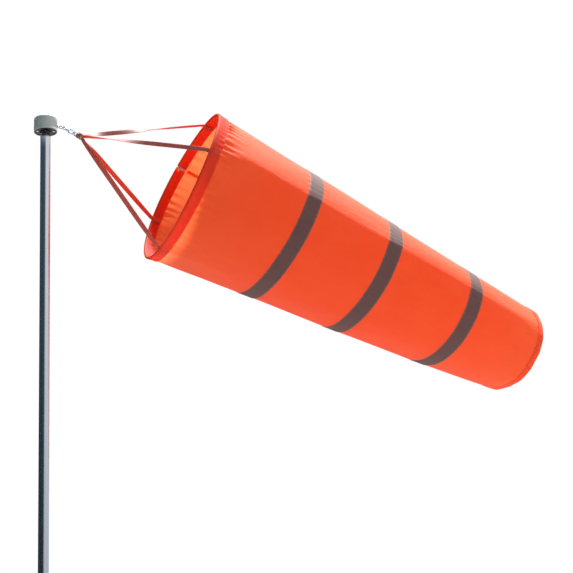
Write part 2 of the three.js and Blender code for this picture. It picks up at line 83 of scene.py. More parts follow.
# ---------------------------------------------------------------- shader nodes
class Tap:
    """A node's output that can be used in sums."""

    def __init__(self, recipe: "Recipe", socket: bpy.types.NodeSocket) -> None:
        """Keep the socket and the recipe whose nodes it belongs to."""
        self.recipe = recipe
        self.socket = socket

    def _with(self, operation: str, *values: "Tap | float") -> "Tap":
        """Add one Math node.

        Args:
            operation: The Math node's operation.
            values: Its inputs, in order.

        Returns:
            The node's output.
        """
        node = self.recipe.node("ShaderNodeMath", {"operation": operation}, dict(enumerate(values)))
        return Tap(self.recipe, node.outputs[0])

    def __add__(self, other: "Tap | float") -> "Tap":
        """Self plus other."""
        return self._with("ADD", self, other)

    __radd__ = __add__

    def __sub__(self, other: "Tap | float") -> "Tap":
        """Self less other."""
        return self._with("SUBTRACT", self, other)

    def __rsub__(self, other: float) -> "Tap":
        """Other less self."""
        return self._with("SUBTRACT", other, self)

    def __mul__(self, other: "Tap | float") -> "Tap":
        """Self times other."""
        return self._with("MULTIPLY", self, other)

    __rmul__ = __mul__

    def __truediv__(self, other: "Tap | float") -> "Tap":
        """Self over other."""
        return self._with("DIVIDE", self, other)

    def __pow__(self, power: float) -> "Tap":
        """Self to a power."""
        return self._with("POWER", self, power)

    def sine(self) -> "Tap":
        """The sine of self, in radians."""
        return self._with("SINE", self)

    def size(self) -> "Tap":
        """Self without its sign."""
        return self._with("ABSOLUTE", self)

    def above(self, limit: float) -> "Tap":
        """One where self is over the limit, else nothing."""
        return self._with("GREATER_THAN", self, limit)

    def least(self, other: "Tap | float") -> "Tap":
        """The smaller of the two."""
        return self._with("MINIMUM", self, other)

    def most(self, other: "Tap | float") -> "Tap":
        """The larger of the two."""
        return self._with("MAXIMUM", self, other)

    def wave(self, pitch: float) -> "Tap":
        """A wave from 0 to 1 that repeats each pitch along self."""
        return (self * (2 * math.pi / pitch)).sine() * 0.5 + 0.5

    def ease(self, low: float, high: float) -> "Tap":
        """Rise smoothly from 0 to 1.

        Args:
            low: Where the rise starts.
            high: Where it ends.

        Returns:
            The node's output.
        """
        node = self.recipe.node(
            "ShaderNodeMapRange", {"interpolation_type": "SMOOTHSTEP"},
            {0: self, 1: low, 2: high, 3: 0.0, 4: 1.0},
        )
        return Tap(self.recipe, node.outputs[0])


class Recipe:
    """The node tree of one material or of the world."""

    def __init__(self, tree: bpy.types.NodeTree) -> None:
        """Start from an empty tree."""
        tree.nodes.clear()
        self.tree = tree

    def node(self, kind: str, settings: dict | None = None, values: dict | None = None) -> bpy.types.Node:
        """Add one node.

        Args:
            kind: The node's type name.
            settings: Its own settings, which are set first.
            values: What goes into its inputs, by name or place: a number, a colour, a Tap or a socket.

        Returns:
            The node.
        """
        node = self.tree.nodes.new(kind)
        for name, value in (settings or {}).items():
            setattr(node, name, value)
        for key, value in (values or {}).items():
            if isinstance(value, Tap):
                value = value.socket
            if isinstance(value, bpy.types.NodeSocket):
                self.tree.links.new(value, node.inputs[key])
            elif isinstance(value, tuple) and len(value) == 3 and node.inputs[key].type == "RGBA":
                node.inputs[key].default_value = (*value, 1.0)
            else:
                node.inputs[key].default_value = value
        return node

    def out(self, kind: str, settings: dict | None = None, values: dict | None = None,
            at: int | str = 0) -> Tap:
        """Add one node and return one of its outputs."""
        return Tap(self, self.node(kind, settings, values).outputs[at])

    def place(self, kind: str = "Object", scale: Colour = (1.0, 1.0, 1.0)) -> Tap:
        """The place on the piece, stretched along each axis.

        Args:
            kind: Object for metres in space, UV for metres along the cloth.
            scale: How much each axis is multiplied.

        Returns:
            The place as a vector.
        """
        at = self.out("ShaderNodeTexCoord", at=kind)
        return self.out("ShaderNodeVectorMath", {"operation": "MULTIPLY"}, {0: at, 1: scale})

    def split(self, vector: Tap) -> tuple[Tap, Tap, Tap]:
        """The three parts of a vector."""
        node = self.node("ShaderNodeSeparateXYZ", values={0: vector})
        return Tap(self, node.outputs[0]), Tap(self, node.outputs[1]), Tap(self, node.outputs[2])

    def noise(self, vector: Tap, scale: float, detail: float = 3.0, rough: float = 0.5,
              bend: float = 0.0) -> Tap:
        """Cloudy noise about 0.5."""
        values = {"Vector": vector, "Scale": scale, "Detail": detail, "Roughness": rough, "Distortion": bend}
        return self.out("ShaderNodeTexNoise", values=values)

    def blend(self, amount: Tap | float, low: Tap | Colour, high: Tap | Colour) -> Tap:
        """Mix two colours."""
        values = {"Factor": amount, 6: low, 7: high}
        return self.out("ShaderNodeMix", {"data_type": "RGBA"}, values, at=2)

    def bump(self, height: Tap, distance: float, strength: float = 1.0) -> Tap:
        """Turn a height into a bump of the surface, distance in metres."""
        values = {"Height": height, "Distance": distance, "Strength": strength}
        return self.out("ShaderNodeBump", values=values)

    def surface(self, values: dict, glow: float = 0.0, glow_colour: Colour = (1.0, 1.0, 1.0)) -> None:
        """Finish with a Principled surface that may let light through.

        Args:
            values: What goes into the Principled node.
            glow: The share of light that passes through, the same all over.
            glow_colour: The colour of that light.
        """
        shader = self.out("ShaderNodeBsdfPrincipled", values=values)
        if glow > 0:
            through = self.out("ShaderNodeBsdfTranslucent", values={"Color": glow_colour})
            shader = self.out("ShaderNodeMixShader", values={0: glow, 1: shader, 2: through})
        self.node("ShaderNodeOutputMaterial", values={"Surface": shader})


# ---------------------------------------------------------------- finishes
def shade(colour: Colour, share: float) -> Colour:
    """The colour made darker, or lighter where the share is over one."""
    return tuple(min(1.0, part * share) for part in colour)


@dataclass(frozen=True)
class Finish:
    """A named finish and the record's slot that it belongs to."""

    name: str
    slot: str

    def paint(self, recipe: Recipe) -> None:
        """Add the finish's nodes.

        Args:
            recipe: The node tree of the material.
        """
        raise NotImplementedError

    def material(self) -> bpy.types.Material:
        """The finish as a material, made once.

        Returns:
            The material.
        """
        made = bpy.data.materials.get(self.name)
        if made is None:
            made = bpy.data.materials.new(self.name)
            made.use_nodes = True
            self.paint(Recipe(made.node_tree))
        return made


@dataclass(frozen=True)
class DrawnSteel(Finish):
    """Stainless tube with fine lines along its length."""

    colour: Colour = (0.60, 0.66, 0.71)
    stained: Colour = (0.42, 0.45, 0.47)
    relief: float = 0.02 * MM

    def paint(self, recipe: Recipe) -> None:
        """Fine lengthwise lines, faint stains and a few scuffs.

        Args:
            recipe: The node tree of the material.
        """
        lines = recipe.noise(recipe.place(scale=(700.0, 700.0, 2.0)), 1.0, 3.0)
        broad = recipe.noise(recipe.place(scale=(160.0, 160.0, 1.5)), 1.0, 2.0)
        stain = recipe.noise(recipe.place(), 14.0, 5.0, 0.6)
        scuff = recipe.noise(recipe.place(scale=(60.0, 60.0, 240.0)), 1.0, 4.0, 0.6).ease(0.62, 0.75)
        tone = (lines * 0.35 + broad * 0.65).ease(0.3, 0.7)
        steel = recipe.blend(tone, shade(self.colour, 0.88), shade(self.colour, 1.08))
        steel = recipe.blend(stain.ease(0.55, 0.8) * 0.25, steel, self.stained)
        recipe.surface({
            "Base Color": steel, "Metallic": 1.0,
            "Roughness": 0.13 + 0.05 * lines + 0.06 * stain + 0.08 * scuff,
            "Normal": recipe.bump(lines * 0.7 + scuff * 0.3, self.relief, 0.5),
        })


@dataclass(frozen=True)
class SmallMetal(Finish):
    """Plated, cast or ground metal of the small fittings."""

    colour: Colour = (0.62, 0.67, 0.72)
    dull: Colour = (0.40, 0.44, 0.49)
    rough: float = 0.28
    grain: float = 900.0
    relief: float = 0.03 * MM

    def paint(self, recipe: Recipe) -> None:
        """A fine grain, clouded plating and duller patches.

        Args:
            recipe: The node tree of the material.
        """
        grain = recipe.noise(recipe.place(), self.grain, 4.0, 0.6)
        cloud = recipe.noise(recipe.place(), 210.0, 4.0, 0.55)
        recipe.surface({
            "Base Color": recipe.blend(cloud.ease(0.35, 0.7) * 0.7, self.colour, self.dull), "Metallic": 1.0,
            "Roughness": self.rough + 0.14 * cloud + 0.06 * grain,
            "Normal": recipe.bump(grain, self.relief, 0.6),
        })


@dataclass(frozen=True)
class Moulded(Finish):
    """Moulded plastic with a fine spark texture, random chalk, and painted light that makes faces lighter the
    more they point up.
    """

    colour: Colour = (0.42, 0.46, 0.44)
    chalk_and_top_light: Colour = (0.55, 0.58, 0.56)
    rough: float = 0.5
    relief: float = 0.08 * MM

    def paint(self, recipe: Recipe) -> None:
        """Spark texture, faint flow marks, random chalk, and painted light on faces that point up.

        Args:
            recipe: The node tree of the material.
        """
        _, _, z = recipe.split(recipe.out("ShaderNodeNewGeometry", at="Normal"))
        spark = recipe.noise(recipe.place(), 1900.0, 3.0, 0.6)
        cloud = recipe.noise(recipe.place(), 60.0, 4.0, 0.6)
        flow = recipe.noise(recipe.place(scale=(30.0, 30.0, 260.0)), 1.0, 3.0, 0.55)
        # Painted light: faces are lightened the more their normal points up, on top of the random chalk
        # cloud.
        chalk_and_top_light_share = (cloud * 0.6 + z.ease(0.1, 1.0) * 0.55).ease(0.3, 1.0)
        base = recipe.blend(chalk_and_top_light_share, self.colour, self.chalk_and_top_light)
        base = recipe.blend(flow.ease(0.55, 0.8) * 0.12, base, shade(self.colour, 0.6))
        recipe.surface({
            "Base Color": base, "Roughness": self.rough + 0.15 * cloud + 0.05 * spark,
            "Normal": recipe.bump(spark * 0.7 + flow * 0.3, self.relief, 0.5),
        })


@dataclass(frozen=True)
class SockCloth(Finish):
    """Thin close-woven polyester that light shines through, with a fine strengthening grid."""

    colour: Colour = (0.86, 0.082, 0.012)
    pale: Colour = (0.90, 0.104, 0.022)
    glow_colour: Colour = (1.0, 0.23, 0.075)
    glow: float = 0.32
    grid: float = 6 * MM
    thread: float = 0.5 * MM
    crumple: float = 1.0
    relief: float = 1 * MM

    def paint(self, recipe: Recipe) -> None:
        """Plain weave, the grid of thicker threads, slubs and soft handling creases, all along the cloth; the
        crease lines also get painted shade.

        Args:
            recipe: The node tree of the material.
        """
        across, along, _ = recipe.split(recipe.place("UV"))
        weave = across.wave(self.thread) * along.wave(self.thread)
        ribs = (across.wave(self.grid).ease(0.93, 1.0)).most(along.wave(self.grid).ease(0.93, 1.0))
        slub = recipe.noise(recipe.place("UV", (40.0, 900.0, 1.0)), 1.0, 3.0)
        cloud = recipe.noise(recipe.place("UV"), 9.0, 4.0, 0.55)
        crease = recipe.noise(recipe.place("UV", (26.0, 9.0, 1.0)), 1.0, 5.0, 0.55, 1.6)
        fold = 1 - ((crease - 0.5).size() * 14.0).least(1.0)
        base = recipe.blend(cloud.ease(0.3, 0.72) * 0.7 + slub * 0.15, self.colour, self.pale)
        # The grid's thicker threads are darker in their own colour; the darkening along the crease lines is
        # painted shade.
        base = recipe.blend(ribs * 0.10 + fold * 0.05, base, shade(self.colour, 0.72))
        woven = weave * 0.02 + ribs * 0.03 + slub * 0.015
        height = woven + crease * (0.8 * self.crumple) + fold * (0.22 * self.crumple)
        recipe.surface({
            "Base Color": base, "Roughness": 0.52 + 0.12 * cloud + 0.06 * weave,
            "Normal": recipe.bump(height, self.relief),
            "Sheen Weight": 0.08, "Sheen Roughness": 0.4, "Specular IOR Level": 0.3,
        }, self.glow, self.glow_colour)


@dataclass(frozen=True)
class Tape(Finish):
    """Grey reflective tape: a bead-coated face on a woven back."""

    colour: Colour = (0.088, 0.050, 0.045)
    bright: Colour = (0.125, 0.085, 0.078)
    glow: float = 0.12
    glow_colour: Colour = (0.55, 0.45, 0.42)
    relief: float = 0.05 * MM

    def paint(self, recipe: Recipe) -> None:
        """Fine beads, faint streaks along the tape and lighter rubbed edges.

        Args:
            recipe: The node tree of the material.
        """
        _, along, _ = recipe.split(recipe.place("UV"))
        beads = recipe.noise(recipe.place("UV"), 2600.0, 2.0, 0.6)
        streak = recipe.noise(recipe.place("UV", (14.0, 400.0, 1.0)), 1.0, 3.0, 0.55)
        cloud = recipe.noise(recipe.place("UV"), 40.0, 4.0, 0.6)
        edge = (along - 0.5 * FULL_TAPE).size().ease(0.42 * FULL_TAPE, 0.5 * FULL_TAPE)
        base = recipe.blend(streak * 0.35 + cloud * 0.25 + edge * 0.5, self.colour, self.bright)
        recipe.surface({
            "Base Color": base, "Roughness": 0.58 + 0.12 * cloud + 0.08 * beads,
            "Normal": recipe.bump(beads * 0.3 + streak * 0.4, self.relief), "Specular IOR Level": 0.35,
        }, self.glow, self.glow_colour)


@dataclass(frozen=True)
class Webbing(Finish):
    """Narrow woven webbing with a strip of the grey tape down its outer face."""

    colour: Colour = (0.84, 0.095, 0.035)
    strip: Colour = (0.150, 0.078, 0.062)
    width: float = 9.6 * MM
    ribs: float = 1.15 * MM
    twill: float = 0.6 * MM
    glow: float = 0.28
    glow_colour: Colour = (1.0, 0.19, 0.06)
    relief: float = 0.3 * MM

    def paint(self, recipe: Recipe) -> None:
        """Ribs across the webbing, a firm edge each side and the strip between them.

        Args:
            recipe: The node tree of the material.
        """
        across, along, _ = recipe.split(recipe.place("UV"))
        rib = along.wave(self.ribs)
        twill = (along * 1.0 + across * 0.6).wave(self.twill)
        fuzz = recipe.noise(recipe.place("UV"), 1500.0, 3.0, 0.6)
        cloud = recipe.noise(recipe.place("UV"), 55.0, 4.0, 0.6)
        strip = 1 - (across - 0.5 * self.width).size().ease(0.27 * self.width, 0.31 * self.width)
        cloth = recipe.blend(cloud * 0.5 + rib * 0.3, self.colour, shade(self.colour, 0.62))
        tape = recipe.blend(cloud * 0.6 + fuzz * 0.3, self.strip, shade(self.strip, 1.5))
        recipe.surface({
            "Base Color": recipe.blend(strip, cloth, tape), "Roughness": 0.72 - 0.24 * strip + 0.1 * fuzz,
            "Normal": recipe.bump((1 - strip) * (rib * 0.7 + twill * 0.3) + fuzz * 0.15, self.relief, 0.7),
            "Sheen Weight": 0.2,
        }, self.glow, self.glow_colour)


@dataclass(frozen=True)
class Thread(Finish):
    """Twisted sewing thread."""

    colour: Colour = (0.30, 0.20, 0.16)
    relief: float = 0.1 * MM

    def paint(self, recipe: Recipe) -> None:
        """A fine twist and uneven dye.

        Args:
            recipe: The node tree of the material.
        """
        twist = recipe.noise(recipe.place(scale=(1.0, 1.0, 1.6)), 2400.0, 2.0)
        dye = recipe.noise(recipe.place(), 160.0, 3.0)
        recipe.surface({
            "Base Color": recipe.blend(dye * 0.6 + twist * 0.3, self.colour, shade(self.colour, 1.5)),
            "Roughness": 0.6 + 0.2 * twist, "Sheen Weight": 0.2,
            "Normal": recipe.bump(twist, self.relief, 0.6),
        })


TUBE_STEEL = DrawnSteel("drawn_stainless", "stainless")
PLUG = Moulded("black_plug", "plug_plastic", (0.025, 0.027, 0.030), (0.06, 0.06, 0.06), 0.55)
PLATE = Moulded("dark_base_plate", "plate_plastic", (0.012, 0.010, 0.009), (0.020, 0.017, 0.015), 0.45)
HEAD_GREY = Moulded("grey_head", "head_plastic", (0.36, 0.42, 0.40), (0.66, 0.70, 0.68), 0.42)
ZINC = SmallMetal("zinc_plate", "zinc_plate", (0.50, 0.60, 0.72), (0.30, 0.38, 0.48), 0.26)
BEARING_STEEL = SmallMetal("bearing_steel", "bearing_steel", (0.72, 0.74, 0.76), (0.55, 0.58, 0.60), 0.14,
                           1600.0)
FITTING_STEEL = SmallMetal("fitting_steel", "hardware_steel", (0.56, 0.66, 0.78), (0.36, 0.45, 0.56), 0.20)
SPRING_STEEL = SmallMetal("spring_steel", "spring_steel", (0.42, 0.42, 0.42), (0.25, 0.25, 0.26), 0.35)
TAB_TAPE = Tape("pale_tab", "tab_tape", (0.72, 0.60, 0.68), (0.86, 0.78, 0.84), 0.3)
CLOTH = SockCloth("sock_cloth", "ripstop")
# The mouth's binding is a darker copy of the binding cloth: painted shade on the hem round the mouth.
BINDING_WITH_PAINTED_SHADE = SockCloth("binding_cloth_painted_shade", "binding", (0.64, 0.054, 0.016), (0.70, 0.068, 0.022), (1.0, 0.20, 0.07),
                    0.50, crumple=0.35)
HEM_CLOTH = SockCloth("hem_cloth", "binding", (0.86, 0.080, 0.012), (0.90, 0.100, 0.020), (1.0, 0.21, 0.065),
                      0.31, crumple=0.35)
TAPE = Tape("reflective_tape", "reflective")
WEBBING = Webbing("strap_webbing", "webbing")
BROWN_THREAD = Thread("brown_thread", "thread")
ORANGE_THREAD = Thread("orange_thread", "thread", (0.62, 0.10, 0.04))
PALE_THREAD = Thread("pale_thread", "thread", (0.40, 0.30, 0.27))


# ---------------------------------------------------------------- meshes
def dress(piece: bpy.types.Object, finish: Finish) -> bpy.types.Object:
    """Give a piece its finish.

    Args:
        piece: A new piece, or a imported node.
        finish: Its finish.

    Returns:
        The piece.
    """
    piece.data.materials.clear()
    piece.data.materials.append(finish.material())
    return piece


def settle(name: str, mesh: bpy.types.Mesh, body: Body, finish: Finish,
           nodes: Sequence[str]) -> bpy.types.Object:
    """Make a mesh a finished piece.

    Args:
        name: The piece's name.
        mesh: Its mesh, already in place.
        body: The body it moves with.
        finish: Its finish.
        nodes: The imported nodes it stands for.

    Returns:
        The piece.
    """
    piece = bpy.data.objects.new(name, mesh)
    bpy.context.scene.collection.objects.link(piece)
    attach(piece, body.value)
    dress(piece, finish)
    if nodes:
        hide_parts(*nodes)
    LOG.info("%s: %d faces on %s", name, len(mesh.polygons), body.value)
    return piece


def shell(bm: bmesh.types.BMesh, name: str, sharp: float = MOULDED_CORNER) -> bpy.types.Mesh:
    """Close a working mesh: merge doubles, turn faces outwards and keep crisp corners.

    Args:
        bm: The working mesh, which is freed.
        name: The mesh's name.
        sharp: The angle over which an edge stays crisp, in degrees.

    Returns:
        The mesh.
    """
    bmesh.ops.remove_doubles(bm, verts=bm.verts, dist=0.0002 * MM)
    bmesh.ops.recalc_face_normals(bm, faces=bm.faces)
    limit = math.radians(sharp)
    for face in bm.faces:
        face.smooth = True
    for edge in bm.edges:
        edge.smooth = not (edge.is_manifold and edge.calc_face_angle(0.0) > limit)
    mesh = bpy.data.meshes.new(name)
    bm.to_mesh(mesh)
    bm.free()
    return mesh


def turned(profile: Corners, around: int = 96, closed: bool = False) -> bmesh.types.BMesh:
    """Spin a profile once about Z.

    Args:
        profile: Radius and height of each corner, in metres.
        around: Steps in the full turn.
        closed: Whether the last corner joins the first.

    Returns:
        The working mesh.
    """
    bm = bmesh.new()
    corners = [bm.verts.new((r, 0.0, z)) for r, z in profile]
    pairs = list(zip(corners, corners[1:])) + ([(corners[-1], corners[0])] if closed else [])
    edges = [bm.edges.new(pair) for pair in pairs]
    bmesh.ops.spin(
        bm, geom=corners + edges, cent=(0, 0, 0), axis=(0, 0, 1), angle=math.tau, steps=around, use_merge=True
    )
    return bm


def rounded(corners: Corners, radii: Sequence[float], steps: int = 4) -> list[tuple[float, float]]:
    """Round the corners of a profile.

    Args:
        corners: The profile's corners.
        radii: The radius at each, nothing for a crisp one.
        steps: Points that each round corner takes.

    Returns:
        The profile with its corners rounded.
    """
    made: list[tuple[float, float]] = []
    last = len(corners) - 1
    for i, (corner, radius) in enumerate(zip(corners, radii)):
        here = Vector(corner)
        if radius <= 0 or i in (0, last):
            made.append(tuple(here))
            continue
        before = (Vector(corners[i - 1]) - here).normalized()
        after = (Vector(corners[i + 1]) - here).normalized()
        start, end = here + before * radius, here + after * radius
        for k in range(steps + 1):
            t = k / steps
            made.append(tuple(start * (1 - t) ** 2 + here * (2 * t * (1 - t)) + end * t ** 2))
    return made


@dataclass(frozen=True)
class Skin:
    """A grid that is laid over a surface. One side runs across it and the other along it."""

    across: int
    along: int
    closed: bool = False

    def lay(self, name: str, place: Place, patch: Place, capped: bool = False) -> bpy.types.Mesh:
        """Lay the grid.

        Args:
            name: The mesh's name.
            place: Gives the place of each corner from its share across and along.
            patch: Gives the flat place of each corner, in metres.
            capped: Whether the open ends are filled.

        Returns:
            The mesh, smooth, with its flat places as its UV map.
        """
        bm = bmesh.new()
        bmesh.ops.create_grid(bm, x_segments=self.across, y_segments=self.along, size=0.5)
        mesh = bpy.data.meshes.new(name)
        bm.to_mesh(mesh)
        bm.free()
        count = len(mesh.vertices)
        flat = np.empty(count * 3)
        mesh.vertices.foreach_get("co", flat)
        flat = flat.reshape(-1, 3)
        u, v = flat[:, 0] + 0.5, flat[:, 1] + 0.5
        corner = np.empty(len(mesh.loops), dtype=np.int32)
        mesh.loops.foreach_get("vertex_index", corner)
        layer = mesh.uv_layers.new(name="flat")
        layer.data.foreach_set("uv", patch(u, v)[corner].astype(np.float32).ravel())
        mesh.vertices.foreach_set("co", place(u, v).astype(np.float32).ravel())
        bm = bmesh.new()
        bm.from_mesh(mesh)
        if self.closed:
            bmesh.ops.remove_doubles(bm, verts=bm.verts, dist=0.001 * MM)
        if capped:
            bmesh.ops.holes_fill(bm, edges=bm.edges, sides=0)
        bmesh.ops.recalc_face_normals(bm, faces=bm.faces)
        for face in bm.faces:
            face.smooth = len(face.verts) <= 4
        bm.to_mesh(mesh)
        bm.free()
        return mesh


def unit(vectors: np.ndarray) -> np.ndarray:
    """Each row at length one."""
    return vectors / np.maximum(np.linalg.norm(vectors, axis=-1, keepdims=True), 1e-12)


@dataclass(frozen=True)
class Route:
    """A row of places with the way out from each, which a tube or a strap follows."""

    points: np.ndarray
    out: np.ndarray

    def length(self) -> np.ndarray:
        """The distance along the route at each place."""
        steps = np.linalg.norm(np.diff(self.points, axis=0), axis=1)
        return np.concatenate([[0.0], np.cumsum(steps)])

    def section(self, name: str, half: tuple[float, float], sides: int, ends: float = 0.0,
                square: float = 1.0, looped: bool = False) -> bpy.types.Mesh:
        """Carry a round or flattened section along the route.

        Args:
            name: The mesh's name.
            half: Half the section's width and half its thickness.
            sides: Corners round the section.
            ends: The length over which each end is rounded off.
            square: One for an ellipse, less for a squarer section.
            looped: Whether the route's end meets its start.

        Returns:
            The mesh. Its flat places run round the section from the middle of its back edge, and along it.
        """
        points = self.points
        if looped:
            along = unit(np.roll(points, -1, axis=0) - np.roll(points, 1, axis=0))
        else:
            along = unit(np.gradient(points, axis=0))
        out = unit(self.out - along * (self.out * along).sum(1, keepdims=True))
        side = np.cross(out, along)
        run = self.length()
        if looped:
            points, out, side = (np.concatenate([a, a[:1]]) for a in (points, out, side))
            run = np.append(run, run[-1] + np.linalg.norm(points[-1] - points[-2]))
        rows = len(points) - 1

        def reach(v: np.ndarray) -> np.ndarray:
            """How full the section is, less than one near a rounded end.

            Args:
                v: Share along the route.

            Returns:
                The share of the full section.
            """
            if not ends:
                return np.ones_like(v)
            near = np.interp(v, np.linspace(0, 1, rows + 1), run)
            near = np.minimum(near, run[-1] - near)
            return np.sqrt(np.clip(1 - (1 - np.clip(near / ends, 0, 1)) ** 2, 0.02, 1))

        def power(value: np.ndarray, exponent: float) -> np.ndarray:
            """A power that keeps the sign."""
            return np.sign(value) * np.abs(value) ** exponent

        def place(u: np.ndarray, v: np.ndarray) -> np.ndarray:
            """The place of each corner of the grid.

            Args:
                u: Share round the section.
                v: Share along the route.

            Returns:
                The places.
            """
            row = np.clip(np.rint(v * rows).astype(int), 0, rows)
            turn = u * math.tau
            wide = power(-np.cos(turn), square)[:, None] * half[0]
            high = power(np.sin(turn), square)[:, None] * half[1]
            return points[row] + (side[row] * wide + out[row] * high) * reach(v)[:, None]

        def patch(u: np.ndarray, v: np.ndarray) -> np.ndarray:
            """The flat place of each corner."""
            row = np.clip(np.rint(v * rows).astype(int), 0, rows)
            return np.stack([u * 4 * half[0], run[row]], axis=1)

        return Skin(sides, rows, True).lay(name, place, patch, capped=not looped)


@dataclass
class Stitching:
    """Rows of stitches that become one piece."""

    name: str
    length: float = 2.7 * MM
    thick: float = 0.5 * MM
    sunk: float = 0.7
    places: list[Matrix] = field(default_factory=list)

    def row(self, points: np.ndarray, out: np.ndarray) -> None:
        """Add a stitch at the middle of each pair of places.

        Args:
            points: The row's places, one stitch pitch apart.
            out: The way out of the cloth at each.
        """
        for a, b, way in zip(points[:-1], points[1:], out[:-1]):
            along = Vector(b - a).normalized()
            up = (Vector(way) - along * Vector(way).dot(along)).normalized()
            turn = Matrix((along, up.cross(along), up)).transposed().to_4x4()
            size = Matrix.Diagonal((self.length, self.thick, self.thick * self.sunk, 1.0))
            self.places.append(Matrix.Translation(Vector((a + b) / 2)) @ turn @ size)

    def piece(self, body: Body, finish: Finish) -> bpy.types.Object:
        """Sew the rows as one piece.

        Args:
            body: The body it moves with.
            finish: The thread.

        Returns:
            The piece.
        """
        bm = bmesh.new()
        for place in self.places:
            bmesh.ops.create_icosphere(bm, subdivisions=1, radius=0.5, matrix=place)
        mesh = bpy.data.meshes.new(self.name)
        for face in bm.faces:
            face.smooth = True
        bm.to_mesh(mesh)
        bm.free()
        return settle(self.name, mesh, body, finish, ())


# ---------------------------------------------------------------- shape of the sock
def joint_place(name: str) -> Vector:
    """Where a joint of the record turns."""
    return Vector(next(j["pos_m"] for j in frame["joints"] if j["name"] == name))


def heading(droop: np.ndarray, sweep: np.ndarray) -> np.ndarray:
    """A direction below the horizontal, swept towards +Y, both in degrees."""
    d, s = np.radians(droop), np.radians(sweep)
    return np.stack([np.cos(d) * np.cos(s), np.cos(d) * np.sin(s), -np.sin(d)], axis=-1)


@dataclass(frozen=True)
class Chain:
    """The straight line from the eye to the sock's mouth: x along it, y across and z up from it."""

    droop: float = 18.6

    def axes(self) -> np.ndarray:
        """The line's three axes.

        Returns:
            Three rows: along the line, across it and up from it.
        """
        along = heading(np.array(self.droop), np.array(0.0))
        across = np.array([0.0, 1.0, 0.0])
        return np.stack([along, across, np.cross(along, across)])

    def lay(self, points: np.ndarray) -> np.ndarray:
        """Bring places on the line, in metres, into the model's frame."""
        return np.asarray(points) @ self.axes() + np.array(joint_place("link_pitch"))

    def turn(self, ways: np.ndarray) -> np.ndarray:
        """Bring directions on the line into the model's frame."""
        return np.asarray(ways) @ self.axes()


CHAIN = Chain()


@dataclass(frozen=True)
class Wave:
    """One wave of the cloth: its height, its count round the sock, its winding along it and its start."""

    height: float
    count: int
    wind: float = 0.0
    start: float = 0.0


SOFT_WAVES = (Wave(0.60 * MM, 3, 2.1, 0.4), Wave(0.45 * MM, 5, -3.3, 1.9), Wave(0.30 * MM, 7, 4.2, 4.0),
              Wave(0.18 * MM, 11, -6.5, 2.2), Wave(0.10 * MM, 16, 9.0, 5.1), Wave(0.06 * MM, 23, -12.0, 0.9))
FLUTTER_WAVES = (Wave(1.6 * MM, 3, start=0.6), Wave(0.9 * MM, 7, start=2.0), Wave(0.4 * MM, 17))


